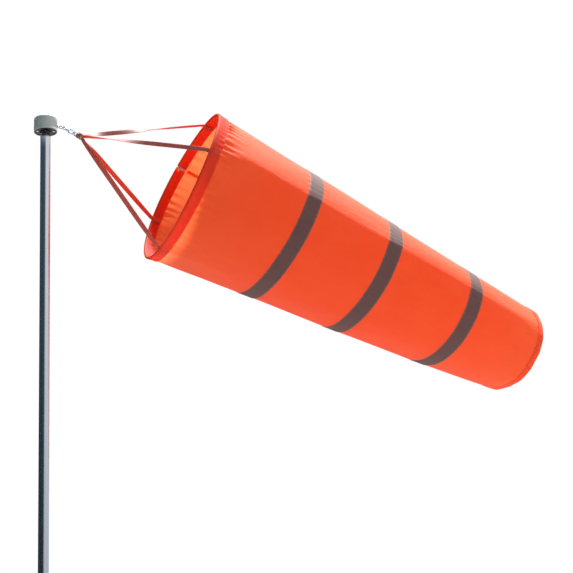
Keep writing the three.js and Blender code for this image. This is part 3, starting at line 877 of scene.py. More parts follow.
@dataclass(frozen=True)
class SockShape:
    """The bent, tapered sleeve: s runs along it from its mouth, and turn round it, 0 up and 90 towards -Y."""

    mouth: float = 261.4 * MM
    length: float = 0.8
    front: float = 155.3 * MM
    back: float = 89.4 * MM
    lift: tuple[float, float] = (-4.1, 15.1)
    sweep: tuple[float, float] = (1.4, 16.3)
    step: float = 2 * MM
    straps: tuple[float, ...] = (-4.0, 86.0, 176.0, 266.0)
    ridge: float = 78.0
    ridge_height: float = 5.0 * MM
    ridge_width: float = 35 * MM
    gather: float = 2.3 * MM
    gather_run: float = 13 * MM
    pucker: float = 0.28 * MM
    pull: float = 1.7 * MM
    pull_run: float = 95 * MM
    hem: float = 22 * MM
    firm: float = 18 * MM
    flutter: float = 80 * MM
    tapes: tuple[float, ...] = (205 * MM, 394 * MM, 597 * MM)
    saddle: float = 2.2 * MM
    rise: float = 5.9 * MM
    far: float = 7.9 * MM
    fade: float = 160 * MM
    lean: tuple[float, float] = (6.4 * MM, 1.9 * MM)

    def bearing(self, s: np.ndarray) -> Pair:
        """The droop and the sweep of the centre line.

        Args:
            s: Distance along the sock, in metres.

        Returns:
            Both, in degrees.
        """
        u = np.clip(s / self.length, 0, 1)
        droop = CHAIN.droop - self.lift[0] * u - self.lift[1] * u * u
        return droop, self.sweep[0] * u + self.sweep[1] * u * u

    def centre(self, s: np.ndarray) -> np.ndarray:
        """The centre line, stepped along from the mouth.

        Args:
            s: Distances along it, in metres.

        Returns:
            The places.
        """
        marks = np.arange(0.0, self.length + 8 * self.step, self.step)
        steps = heading(*self.bearing(marks + self.step / 2)) * self.step
        line = np.concatenate([np.zeros((1, 3)), np.cumsum(steps, axis=0)])
        line += CHAIN.lay(np.array([self.mouth, 0, 0]))
        marks = np.append(marks, marks[-1] + self.step)
        inside = np.stack([np.interp(s, marks, line[:, i]) for i in range(3)], axis=-1)
        return inside + np.minimum(s, 0)[..., None] * heading(*self.bearing(np.zeros_like(s)))

    def spoke(self, s: np.ndarray, turn: np.ndarray) -> np.ndarray:
        """The way out from the centre line.

        Args:
            s: Distance along the sock, in metres.
            turn: Turn round it, in degrees.

        Returns:
            The directions.
        """
        droop, sweep = self.bearing(s)
        along = heading(droop, sweep)
        swept = np.radians(sweep)
        across = np.stack([-np.sin(swept), np.cos(swept), np.zeros_like(swept)], axis=-1)
        up = np.cross(along, across)
        angle = np.radians(turn)[..., None]
        return up * np.cos(angle) - across * np.sin(angle)

    def pulled(self, s: np.ndarray, turn: np.ndarray) -> np.ndarray:
        """Where a place lies along the centre line.

        The hoop hangs a little out of square, its near side forwards, and the cloth behind it leans back at
        its top.

        Args:
            s: Distance along the sock, in metres.
            turn: Turn round it, in degrees.

        Returns:
            The distance along the centre line, in metres.
        """
        angle = np.radians(turn)
        fade = np.clip(1 - s / self.fade, 0, 1) ** 2
        rim = self.saddle * np.cos(2 * angle) + self.rise * np.cos(angle) - self.far * np.sin(angle)
        lean = self.lean[0] * np.cos(angle) + self.lean[1] * np.sin(angle)
        return s + rim * fade + lean * (1 - fade)

    def stand(self, s: np.ndarray, turn: np.ndarray, out: np.ndarray) -> np.ndarray:
        """A place that stands out from the centre line."""
        reach = self.pulled(s, turn)
        return self.centre(reach) + self.spoke(reach, turn) * out[..., None]

    def radius(self, s: np.ndarray) -> np.ndarray:
        """Radius of the smooth cloth."""
        return self.front + (self.back - self.front) * s / self.length

    def aside(self, s: np.ndarray, turn: np.ndarray, line: float) -> np.ndarray:
        """How far round the cloth a place lies from a line along it, in metres."""
        return np.radians((turn - line + 180) % 360 - 180) * self.radius(s)

    def soft(self, s: np.ndarray, around: np.ndarray) -> np.ndarray:
        """Broad, shallow waves that calm down towards the tail.

        Args:
            s: Distance along the sock, in metres.
            around: Turn round it, in radians.

        Returns:
            The distance outwards, in metres.
        """
        free = np.clip((s - self.firm) / (60 * MM), 0, 1)
        free = free * free * (3 - 2 * free)
        drift = np.sin(2 * around + 7 * s)
        share = 3 * s / self.length
        waves = sum(
            w.height * np.sin(w.count * around + w.wind * share + w.start + drift) for w in SOFT_WAVES
        )
        return waves * free * (1 - 0.45 * np.clip(s / self.length, 0, 1))

    def tension(self, s: np.ndarray, turn: np.ndarray) -> np.ndarray:
        """Creases that fan out from where each strap pulls on the hem.

        Args:
            s: Distance along the sock, in metres.
            turn: Turn round it, in degrees.

        Returns:
            The distance outwards, in metres.
        """
        shape = np.zeros_like(s)
        for strap in self.straps:
            gap, ahead = self.aside(s, turn, strap), s + 12 * MM
            far = np.hypot(gap, ahead)
            fan = np.cos(7 * np.arctan2(gap, ahead) + 0.4)
            pull = np.exp(-far / self.pull_run) * np.clip((far - 14 * MM) / (25 * MM), 0, 1)
            shape += self.pull * fan * pull * np.clip(s / (12 * MM), 0, 1)
        return shape

    def gathers(self, s: np.ndarray, turn: np.ndarray) -> np.ndarray:
        """The cloth's fullness that the hem takes in, deepest near the top.

        Args:
            s: Distance along the sock, in metres.
            turn: Turn round it, in degrees.

        Returns:
            The distance outwards, in metres.
        """
        around = np.radians(turn)
        fold = np.sin(58 * around + 1.4 * np.sin(5 * around) + 0.9 * np.sin(13 * around))
        depth = 0.62 + 0.38 * np.sin(9 * around + 1) + 0.7 * np.exp(-((turn % 360 - 45) / 28) ** 2)
        fade = np.exp(-np.maximum(s - self.hem, 0) / self.gather_run)
        return self.gather * fold * depth * fade * np.clip((s - self.firm) / (8 * MM), 0, 1)

    def puckers(self, s: np.ndarray, around: np.ndarray) -> np.ndarray:
        """Fine puckers along both edges of each tape.

        Args:
            s: Distance along the sock, in metres.
            around: Turn round it, in radians.

        Returns:
            The distance outwards, in metres.
        """
        shape = np.zeros_like(s)
        for start in self.tapes:
            for edge in (start, start + FULL_TAPE):
                fold = np.sin(61 * around + 1.1 * np.sin(7 * around + edge * 40) + edge * 30)
                shape += self.pucker * fold * np.exp(-np.abs(s - edge) / (9 * MM))
        return shape

    def billow(self, s: np.ndarray, turn: np.ndarray) -> np.ndarray:
        """How far the cloth stands off its smooth cone.

        Args:
            s: Distance along the sock, in metres.
            turn: Turn round it, in degrees.

        Returns:
            The distance outwards, in metres.
        """
        around = np.radians(turn)
        crest = np.sqrt(self.aside(s, turn, self.ridge) ** 2 + (4 * MM) ** 2)
        ridge = self.ridge_height * np.exp(-crest / self.ridge_width) * np.clip(s / (60 * MM), 0, 1)
        loose = np.clip((s - self.length + self.flutter) / self.flutter, 0, 1) ** 2
        flutter = loose * sum(w.height * np.sin(w.count * around + w.start) for w in FLUTTER_WAVES)
        shape = self.soft(s, around) + self.tension(s, turn) + ridge
        return shape + self.gathers(s, turn) + self.puckers(s, around) + flutter

    def place(self, s: np.ndarray, turn: np.ndarray, offset: np.ndarray | float = 0.0) -> np.ndarray:
        """A place on the cloth, or a distance off it."""
        return self.stand(s, turn, self.radius(s) + self.billow(s, turn) + offset)

    def flat(self, s: np.ndarray, turn: np.ndarray) -> np.ndarray:
        """The same place on the cloth laid flat, in metres."""
        return np.stack([np.radians(turn + 180 - SEAM_TURN) * self.radius(s), s], axis=-1)


SHAPE = SockShape()


# ---------------------------------------------------------------- sub-assemblies
@dataclass
class Pole:
    """The stainless tube, its plugs and the spindle that carries the head."""

    radius: float = 10 * MM
    wall: float = 1 * MM
    foot_radius: float = 11.5 * MM
    foot_flange: float = 2.7 * MM
    burr: float = 0.25 * MM
    plug_radius: float = 8.6 * MM
    plug_wall: float = 1.8 * MM
    plug_floor: float = 5 * MM

    def tube(self) -> bpy.types.Object:
        """The tube, deburred at both ends.

        Returns:
            The piece.
        """
        low, high = (corner.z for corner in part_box("pole_tube"))
        outer, inner, burr = self.radius, self.radius - self.wall, self.burr
        profile = [(inner, low + burr), (inner + burr, low), (outer - burr, low), (outer, low + burr)]
        profile += [(outer, float(z)) for z in np.linspace(low + burr, high - burr, 25)[1:-1]]
        profile += [(outer, high - burr), (outer - burr, high), (inner + burr, high), (inner, high - burr)]
        mesh = shell(turned(profile, 96, closed=True), "stainless_tube", METAL_CORNER)
        return settle("stainless_tube", mesh, Body.POLE, TUBE_STEEL, ["pole_tube"])

    def foot(self) -> bpy.types.Object:
        """The moulded plug in the tube's foot.

        Returns:
            The piece.
        """
        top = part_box("foot_plug")[1].z
        outer, flange, plug = self.foot_radius, self.foot_flange, self.plug_radius
        bore, floor = plug - self.plug_wall, self.plug_floor
        corners = [(0, 0), (outer, 0), (outer, flange), (plug, flange), (plug, top), (bore, top),
                   (bore, floor), (0, floor)]
        rounds = [0, 0.9 * MM, 0.5 * MM, 0, 0.5 * MM, 0.3 * MM, 0.5 * MM, 0]
        mesh = shell(turned(rounded(corners, rounds), 72), "foot_cap")
        return settle("foot_cap", mesh, Body.POLE, PLUG, ["foot_plug"])

    def build(self) -> None:
        """Make the tube and plug, and dress the spindle's parts."""
        self.tube()
        self.foot()
        for node in ("spindle_plug", "spindle_washer", "spindle_screw"):
            dress(frame["nodes"][node], ZINC)
        dress(frame["nodes"]["bearing_inner"], BEARING_STEEL)


@dataclass
class Head:
    """The moulded drum that turns on the pole, its base plate, screws and eye."""

    wall: float = 2.6 * MM
    fillet: float = 5.6 * MM
    lip: float = 1.0 * MM
    dome: float = 1.5 * MM
    parting: float = 4.6 * MM
    groove: float = 0.25 * MM
    eye_ring: float = 4.7 * MM
    eye_wire: float = 1.5 * MM
    shank: float = 1.9 * MM
    shank_tail: float = 8 * MM
    collar: float = 4 * MM
    collar_thick: float = 1.2 * MM

    def drum(self) -> bpy.types.Object:
        """The drum, with a filleted, slightly domed top and a thin parting line.

        Returns:
            The piece.
        """
        lowest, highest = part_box("head_shell")
        radius, low, high = highest.x, lowest.z, highest.z
        inner, roof = radius - self.wall, high - self.wall - self.dome
        line, edge, ledge = low + self.parting, radius - self.lip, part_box("base_plate")[1].z + 0.3 * MM
        groove = self.groove
        corners = [(inner, roof), (inner, ledge), (edge, ledge), (edge, low), (radius, low),
                   (radius, line - groove), (radius - 0.2 * MM, line), (radius, line + groove),
                   (radius - groove, high - self.dome), (radius / 2, high - groove), (0, high)]
        rounds = [0, 0, 0, 0.3 * MM, 0.4 * MM, 0, 0, 0, self.fillet, 3 * MM, 0]
        profile = rounded(corners, rounds, 7)
        mesh = shell(turned([(0, roof), *profile], 128), "head_drum", 40.0)
        return settle("head_drum", mesh, Body.HEAD, HEAD_GREY, ["head_shell"])

    def eye(self) -> bpy.types.Object:
        """The eye on the drum's side: a ring, its shank and its collar.

        Returns:
            The piece.
        """
        centre = joint_place("link_pitch")
        ring, wire, shank, collar = self.eye_ring, self.eye_wire, self.shank, self.collar
        quarter = math.pi / 2
        bm = bmesh.new()
        made = bmesh.ops.create_circle(
            bm, cap_ends=False, segments=20, radius=wire,
            matrix=Matrix.Translation((ring, 0, 0)) @ Matrix.Rotation(quarter, 4, "X"),
        )
        edges = list({e for v in made["verts"] for e in v.link_edges})
        bmesh.ops.spin(
            bm, geom=made["verts"] + edges, cent=(0, 0, 0), axis=(0, 0, 1), angle=math.tau, steps=48,
            use_merge=True,
        )
        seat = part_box("head_shell")[1].x + 0.3 * MM
        tail, face, tip = seat - self.shank_tail, seat + self.collar_thick, centre.x - ring + 0.3 * MM
        corners = [(0, tail), (shank, tail), (shank, seat), (collar, seat), (collar, face),
                   (shank * 1.05, face + 0.5 * MM), (shank * 0.9, tip), (0, tip)]
        stem = turned(rounded(corners, [0, 0, 0, 0.25 * MM, 0.4 * MM, 0.8 * MM, 0.3 * MM, 0]), 40)
        place = Matrix.Translation((-centre.x, 0, 0)) @ Matrix.Rotation(quarter, 4, "Y")
        bmesh.ops.transform(stem, matrix=place, verts=stem.verts)
        part = bpy.data.meshes.new("stem")
        stem.to_mesh(part)
        stem.free()
        bm.from_mesh(part)
        bpy.data.meshes.remove(part)
        bmesh.ops.transform(bm, matrix=Matrix.Translation(centre), verts=bm.verts)
        return settle("head_eye", shell(bm, "head_eye", METAL_CORNER), Body.HEAD, ZINC, ["eye_bolt"])

    def build(self) -> None:
        """Make the drum and eye, and dress the rest."""
        self.drum()
        self.eye()
        dress(frame["nodes"]["base_plate"], PLATE)
        dress(frame["nodes"]["eye_nut"], ZINC)
        for node in ("plate_screw_1", "plate_screw_2"):
            dress(frame["nodes"][node], FITTING_STEEL)
        for node in ("bearing_outer", "bearing_balls"):
            dress(frame["nodes"][node], BEARING_STEEL)


@dataclass
class Coupling:
    """The swivel eye, the snap clasp with its gate, and the ring."""

    hook: float = 3.7 * MM
    back: float = 18.5 * MM
    nose: float = 24.1 * MM
    ring_near: float = 25 * MM
    ring_bar: float = 35.5 * MM
    ring_half: float = 7 * MM
    ring_corner: float = 1.7 * MM
    ring_wire: float = 1.1 * MM
    loop_ring: float = 3.6 * MM
    loop_centre: float = 5.3 * MM
    loop_wire: float = 1.2 * MM
    shoulder: float = 2.4 * MM
    neck: float = 1.15 * MM
    rivet: float = 2.1 * MM
    barrel: tuple[float, float] = (11.9 * MM, 14.1 * MM)
    barrel_radius: float = 2.6 * MM
    barrel_bore: float = 1.5 * MM
    lever: float = 1.2 * MM
    hook_start: tuple[float, float, float] = (16.9 * MM, 0, 3.75 * MM)
    hook_half: tuple[float, float] = (1.15 * MM, 1.35 * MM)
    cheek_half: tuple[float, float] = (0.9 * MM, 1.2 * MM)
    squareness: float = 0.8

    @staticmethod
    def on_line(profile: Corners, closed: bool = False) -> bmesh.types.BMesh:
        """Spin a profile about the line from the eye.

        Args:
            profile: Its corners' radii and their distances from the eye's middle.
            closed: Whether the last corner joins the first.

        Returns:
            The working mesh.
        """
        bm = turned(profile, 36, closed)
        axes = CHAIN.axes()
        basis = Matrix((Vector(axes[1]), Vector(axes[2]), Vector(axes[0]))).transposed().to_4x4()
        bmesh.ops.transform(bm, matrix=Matrix.Translation(joint_place("link_pitch")) @ basis, verts=bm.verts)
        return bm

    @staticmethod
    def joined(*meshes: bpy.types.Mesh, name: str) -> bpy.types.Mesh:
        """Several meshes as one.

        Args:
            meshes: The meshes.
            name: The new mesh's name.

        Returns:
            The new mesh.
        """
        bm = bmesh.new()
        for mesh in meshes:
            bm.from_mesh(mesh)
        return shell(bm, name, METAL_CORNER)

    @staticmethod
    def bow(points: Sequence[tuple[float, float, float]]) -> np.ndarray:
        """Places on the line from the eye, brought into the model's frame."""
        return CHAIN.lay(np.array(points, float))

    def swivel(self) -> bpy.types.Object:
        """The swivel's loop and its riveted stem.

        Returns:
            The piece.
        """
        ring, centre, neck, rivet = self.loop_ring, self.loop_centre, self.neck, self.rivet
        angle = np.linspace(0, math.tau, 40, endpoint=False)
        path = np.stack([centre + ring * np.cos(angle), ring * np.sin(angle), 0 * angle], axis=1)
        out = np.tile(CHAIN.axes()[2], (len(path), 1))
        loop = Route(CHAIN.lay(path), out).section("loop", (self.loop_wire, self.loop_wire), 16, looped=True)
        far, (low, high) = centre + ring, self.barrel
        low, high, tip = low - 0.3 * MM, high + 0.3 * MM, high + self.barrel_bore
        corners = [(0, far - 0.6 * MM), (1.5 * MM, far - 0.3 * MM), (self.shoulder, far + 0.9 * MM),
                   (self.shoulder, low), (neck, low), (neck, high), (rivet, high), (rivet, tip - 0.5 * MM),
                   (1.2 * MM, tip), (0, tip)]
        rounds = [0, 0.4 * MM, 0.5 * MM, 0.4 * MM, 0, 0, 0.1 * MM, 0.3 * MM, 0.3 * MM, 0]
        stem = shell(self.on_line(rounded(corners, rounds)), "stem", METAL_CORNER)
        mesh = self.joined(loop, stem, name="swivel_loop")
        return settle("swivel_loop", mesh, Body.SWIVEL, FITTING_STEEL, ["swivel_eye"])

    def clasp(self) -> bpy.types.Object:
        """The cast clasp: a barrel that the swivel turns in, and a hook of rounded section.

        Returns:
            The piece.
        """
        bend = np.radians(np.linspace(100, 270, 26))
        tip = np.radians(np.linspace(-90, 74, 26))
        lower = np.linspace(self.back, self.nose, 8)[1:-1]
        path = [self.hook_start]
        path += [(self.back + self.hook * math.cos(a), 0, self.hook * math.sin(a)) for a in bend]
        path += [(x, 0, -self.hook) for x in lower]
        path += [(self.nose + self.hook * math.cos(a), 0, self.hook * math.sin(a)) for a in tip]
        points = self.bow(path)
        out = np.tile(CHAIN.axes()[1], (len(points), 1))
        hook = Route(points, out).section(
            "hook", self.hook_half, 18, ends=1.1 * MM, square=self.squareness)
        (low, high), bore, outer = self.barrel, self.barrel_bore, self.barrel_radius
        corners = [(bore, low + 0.2 * MM), (bore + 0.2 * MM, low), (outer, low), (outer, high), (bore, high)]
        profile = rounded(corners, [0, 0, 0.4 * MM, 0.4 * MM, 0])
        barrel = shell(self.on_line(profile, closed=True), "barrel", METAL_CORNER)
        cheek = []
        for side in (-1, 1):
            arm = [(x * MM, 0.0, side * z * MM) for x, z in ((13.6, 2.1), (14.8, 2.7), (16.0, 3.2))]
            route = Route(self.bow(arm), np.tile(CHAIN.axes()[1], (3, 1)))
            cheek.append(route.section("cheek", self.cheek_half, 14, ends=0.6 * MM, square=self.squareness))
        mesh = self.joined(hook, barrel, *cheek, name="clasp_hook")
        return settle("clasp_hook", mesh, Body.CLASP, FITTING_STEEL, ["clasp_body"])

    def gate(self) -> bpy.types.Object:
        """The sprung gate: a bevelled lever with a raised thumb stud.

        Returns:
            The piece.
        """
        outline = [(15.6, 2.75), (17.8, 2.75), (23.5, 2.95), (23.5, 4.25), (19.8, 5.0), (18.2, 6.4),
                   (17.0, 5.8), (15.6, 4.65)]
        bm = bmesh.new()
        axes = CHAIN.axes()
        thick = self.lever
        corners = [bm.verts.new(CHAIN.lay(np.array([x * MM, -thick / 2, z * MM]))) for x, z in outline]
        face = bm.faces.new(corners)
        grown = bmesh.ops.extrude_face_region(bm, geom=[face])
        moved = [v for v in grown["geom"] if isinstance(v, bmesh.types.BMVert)]
        bmesh.ops.translate(bm, verts=moved, vec=Vector(axes[1]) * thick)
        bmesh.ops.bevel(
            bm, geom=bm.edges[:], offset=0.22 * MM, affect="EDGES", segments=2, profile=0.5, material=-1
        )
        mesh = shell(bm, "gate_lever", METAL_CORNER)
        return settle("gate_lever", mesh, Body.GATE, ZINC, ["clasp_gate"])

    def ring(self) -> bpy.types.Object:
        """The D ring in the clasp, bent from one wire.

        Returns:
            The piece.
        """
        near, bar, half, corner = self.ring_near, self.ring_bar, self.ring_half, self.ring_corner
        bow = np.radians(np.linspace(90, 270, 30))
        turn = np.radians(np.linspace(270, 360, 8))
        path = [(near + half + half * math.cos(a), half * math.sin(a), 0) for a in bow]
        path += [(bar - corner + corner * math.cos(a), corner - half + corner * math.sin(a), 0) for a in turn]
        path += [(bar, y, 0) for y in np.linspace(corner - half, half - corner, 8)[1:-1]]
        turn -= turn[0]
        path += [(bar - corner + corner * math.cos(a), half - corner + corner * math.sin(a), 0) for a in turn]
        points = self.bow(path)
        mesh = Route(points, np.tile(CHAIN.axes()[2], (len(points), 1))).section(
            "bridle_d_ring", (self.ring_wire, self.ring_wire), 16, looped=True)
        return settle("bridle_d_ring", mesh, Body.SOCK, FITTING_STEEL, ["bridle_ring"])

    def build(self) -> None:
        """Make the swivel, clasp, gate and ring."""
        self.swivel()
        self.clasp()
        self.gate()
        self.ring()
        dress(frame["nodes"]["gate_pin"], ZINC)


@dataclass
class Bridle:
    """Two lengths of webbing folded round the ring, which make four legs, and the thread that binds them."""

    width: float = 9.6 * MM
    thick: float = 1.1 * MM
    bar: float = 35.5 * MM
    whip: tuple[float, float] = (39.2 * MM, 43.6 * MM)
    layers: tuple[float, float] = (3.5 * MM, 2.0 * MM)
    steps: int = 120
    facet: float = math.radians(3.75)
    soften: int = 25
    thread: float = 0.72 * MM
    winds: int = 6
    knot: tuple[float, float] = (5.6 * MM, 4.9 * MM)
    box: tuple[float, float] = (6 * MM, 16 * MM)
    stitch: float = 2.3 * MM
    outside: float = 1.75 * MM
    inside: float = -4.75 * MM
    twists: tuple[tuple[tuple[float, float], ...], ...] = (
        ((0, 5), (0.11, 88), (0.36, 84), (0.62, 12), (0.8, 0), (1, 0)),
        ((0, -86), (0.08, -80), (0.5, 8), (1, 0)),
        ((0, 5), (0.14, -50), (0.8, -46), (0.95, 0), (1, 0)),
        ((0, -86), (0.13, 24), (0.84, 22), (0.95, 0), (1, 0)),
    )

    @staticmethod
    def through(points: np.ndarray, count: int) -> np.ndarray:
        """A smooth curve through a few points.

        Args:
            points: The points.
            count: How many places are wanted.

        Returns:
            The places, evenly spaced.
        """
        ends = np.concatenate([[2 * points[0] - points[1]], points, [2 * points[-1] - points[-2]]])
        made = []
        for a, b, c, d in zip(ends, ends[1:], ends[2:], ends[3:]):
            gaps = [float(np.linalg.norm(q - p)) for p, q in ((a, b), (b, c), (c, d))]
            knots = np.cumsum([0.0] + [math.sqrt(gap) for gap in gaps])
            t = np.linspace(knots[1], knots[2], 60)[:, None]
            k0, k1, k2, k3 = knots
            one = (k1 - t) / (k1 - k0) * a + (t - k0) / (k1 - k0) * b
            two = (k2 - t) / (k2 - k1) * b + (t - k1) / (k2 - k1) * c
            three = (k3 - t) / (k3 - k2) * c + (t - k2) / (k3 - k2) * d
            four = (k2 - t) / (k2 - k0) * one + (t - k0) / (k2 - k0) * two
            five = (k3 - t) / (k3 - k1) * two + (t - k1) / (k3 - k1) * three
            made.append((k2 - t) / (k2 - k1) * four + (t - k1) / (k2 - k1) * five)
        line = np.concatenate(made)
        run = np.concatenate([[0.0], np.cumsum(np.linalg.norm(np.diff(line, axis=0), axis=1))])
        marks = np.linspace(0, run[-1], count)
        return np.stack([np.interp(marks, run, line[:, i]) for i in range(3)], axis=1)

    def leg(self, number: int, height: float) -> tuple[np.ndarray, np.ndarray]:
        """One leg, from the ring out to its end inside the hem.

        Args:
            number: Its place round the mouth, from the top.
            height: How far off the line it leaves the ring, in metres.

        Returns:
            Its places and its ways out, on the line from the eye.
        """
        angle = math.radians(SHAPE.straps[number])
        radial = np.array([0.0, -math.sin(angle), math.cos(angle)])
        along = np.array([1.0, 0.0, 0.0])

        def hem(s: float, offset: float) -> np.ndarray:
            """A place at the mouth.

            Args:
                s: Its distance along the sock, in millimetres.
                offset: Its distance off the cloth, in millimetres.

            Returns:
                The place, on the line from the eye.
            """
            reach = float(SHAPE.radius(np.array(s * MM))) * math.cos(self.facet) + offset * MM
            shift = float(SHAPE.pulled(np.array(s * MM), np.array(SHAPE.straps[number])))
            return radial * reach + along * (SHAPE.mouth + shift)

        start = np.array([self.whip[1] + 1 * MM, 0, height])
        knots = np.stack([start, hem(-14, -13), hem(-2, -4.8), hem(8, -4.3), hem(20, -3.3)])
        curve = self.through(knots, self.steps)
        points = np.concatenate([[[self.bar, 0, height], [self.whip[0], 0, height]], curve])
        keys = np.array(self.twists[number], float)
        spare = self.soften // 2
        share = np.clip((np.arange(-spare, len(points) + spare) - 4) / (len(points) - 14), 0, 1)
        even = np.full(self.soften, 1 / self.soften)
        roll = np.convolve(np.interp(share, keys[:, 0], keys[:, 1]), even, "valid")
        roll = np.radians(roll)[:, None]
        run = unit(np.gradient(points, axis=0))
        facing = unit(radial - run * (run @ radial)[:, None])
        out = facing * np.cos(roll) + np.cross(run, facing) * np.sin(roll)
        start = np.clip(1 - np.arange(len(points)) / 6, 0, 1)[:, None]
        level = np.array([0.0, 0.0, math.copysign(1.0, height)])
        return points, unit(out * (1 - start) + level * start)

    def strap(self, name: str, node: str, legs: tuple[int, int], height: float) -> bpy.types.Object:
        """One strap: up from the rim, round the ring's bar and out to the rim again.

        Args:
            name: The piece's name.
            node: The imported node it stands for.
            legs: Its upper and lower legs, counted round the mouth from the top.
            height: How far its layers lie off the line at the ring.

        Returns:
            The strap.
        """
        upper, upper_out = self.leg(legs[0], height)
        lower, lower_out = self.leg(legs[1], -height)
        angle = np.radians(np.linspace(90, 270, 14)[1:-1])
        fold_out = np.stack([np.cos(angle), 0 * angle, np.sin(angle)], axis=1)
        fold = fold_out * height + np.array([self.bar, 0, 0])
        points = np.concatenate([upper[::-1], fold, lower])
        out = np.concatenate([upper_out[::-1], fold_out, lower_out])
        mesh = Route(CHAIN.lay(points), CHAIN.turn(out)).section(
            name, (self.width / 2, self.thick / 2), 20, ends=0.4 * MM, square=0.45)
        return settle(name, mesh, Body.SOCK, WEBBING, [node])

    def whipping(self) -> bpy.types.Object:
        """Thread wound round the four legs behind the ring.

        Returns:
            The piece.
        """
        thread, (across, above) = self.thread, self.knot
        angle = np.linspace(0, math.tau * self.winds, 36 * self.winds)
        run = np.linspace(self.whip[0] + thread / 2, self.whip[1] - thread / 2, len(angle))
        run = run + 0.25 * MM * np.sin(angle * 1.37)
        cos, sin = np.cos(angle), np.sin(angle)
        wide = np.sign(cos) * np.abs(cos) ** 0.5 * across
        high = np.sign(sin) * np.abs(sin) ** 0.5 * (above + 0.15 * MM * np.sin(angle * 0.9))
        points = np.stack([run, wide, high], axis=1)
        out = unit(np.stack([0 * run, cos, sin], axis=1))
        route = Route(CHAIN.lay(points), CHAIN.turn(out))
        mesh = route.section("thread_whipping", (thread / 2, thread / 2), 10, ends=0.3 * MM)
        return settle("thread_whipping", mesh, Body.SOCK, BROWN_THREAD, ["strap_whipping"])

    def sewing(self) -> bpy.types.Object:
        """A box of stitches on the inner end of each leg, and the same box through the hem outside.

        Returns:
            The piece.
        """
        sewn = Stitching("strap_stitching", 2.0 * MM, 0.5 * MM)
        half = self.width / 2 - 1.4 * MM
        low, high = self.box
        for turn in SHAPE.straps:
            lines = [((-half, low), (half, low)), ((half, low), (half, high)), ((half, high), (-half, high)),
                     ((-half, high), (-half, low)), ((-half, low), (half, high)),
                     ((half, low), (-half, high))]
            for (x0, s0), (x1, s1) in lines:
                count = max(2, round(math.hypot(x1 - x0, s1 - s0) / self.stitch) + 1)
                side, run = np.linspace(x0, x1, count), np.linspace(s0, s1, count)
                around = turn + np.degrees(side / SHAPE.radius(run))
                out = SHAPE.spoke(run, around)
                sewn.row(SHAPE.place(run, around, self.outside), out)
                sewn.row(SHAPE.stand(run, around, SHAPE.radius(run) + self.inside), -out)
        return sewn.piece(Body.SOCK, BROWN_THREAD)

    def build(self) -> None:
        """Make the straps, their thread and their stitches."""
        self.strap("bridle_webbing_1", "bridle_strap_1", (0, 2), self.layers[0])
        self.strap("bridle_webbing_2", "bridle_strap_2", (1, 3), self.layers[1])
        self.whipping()
        self.sewing()


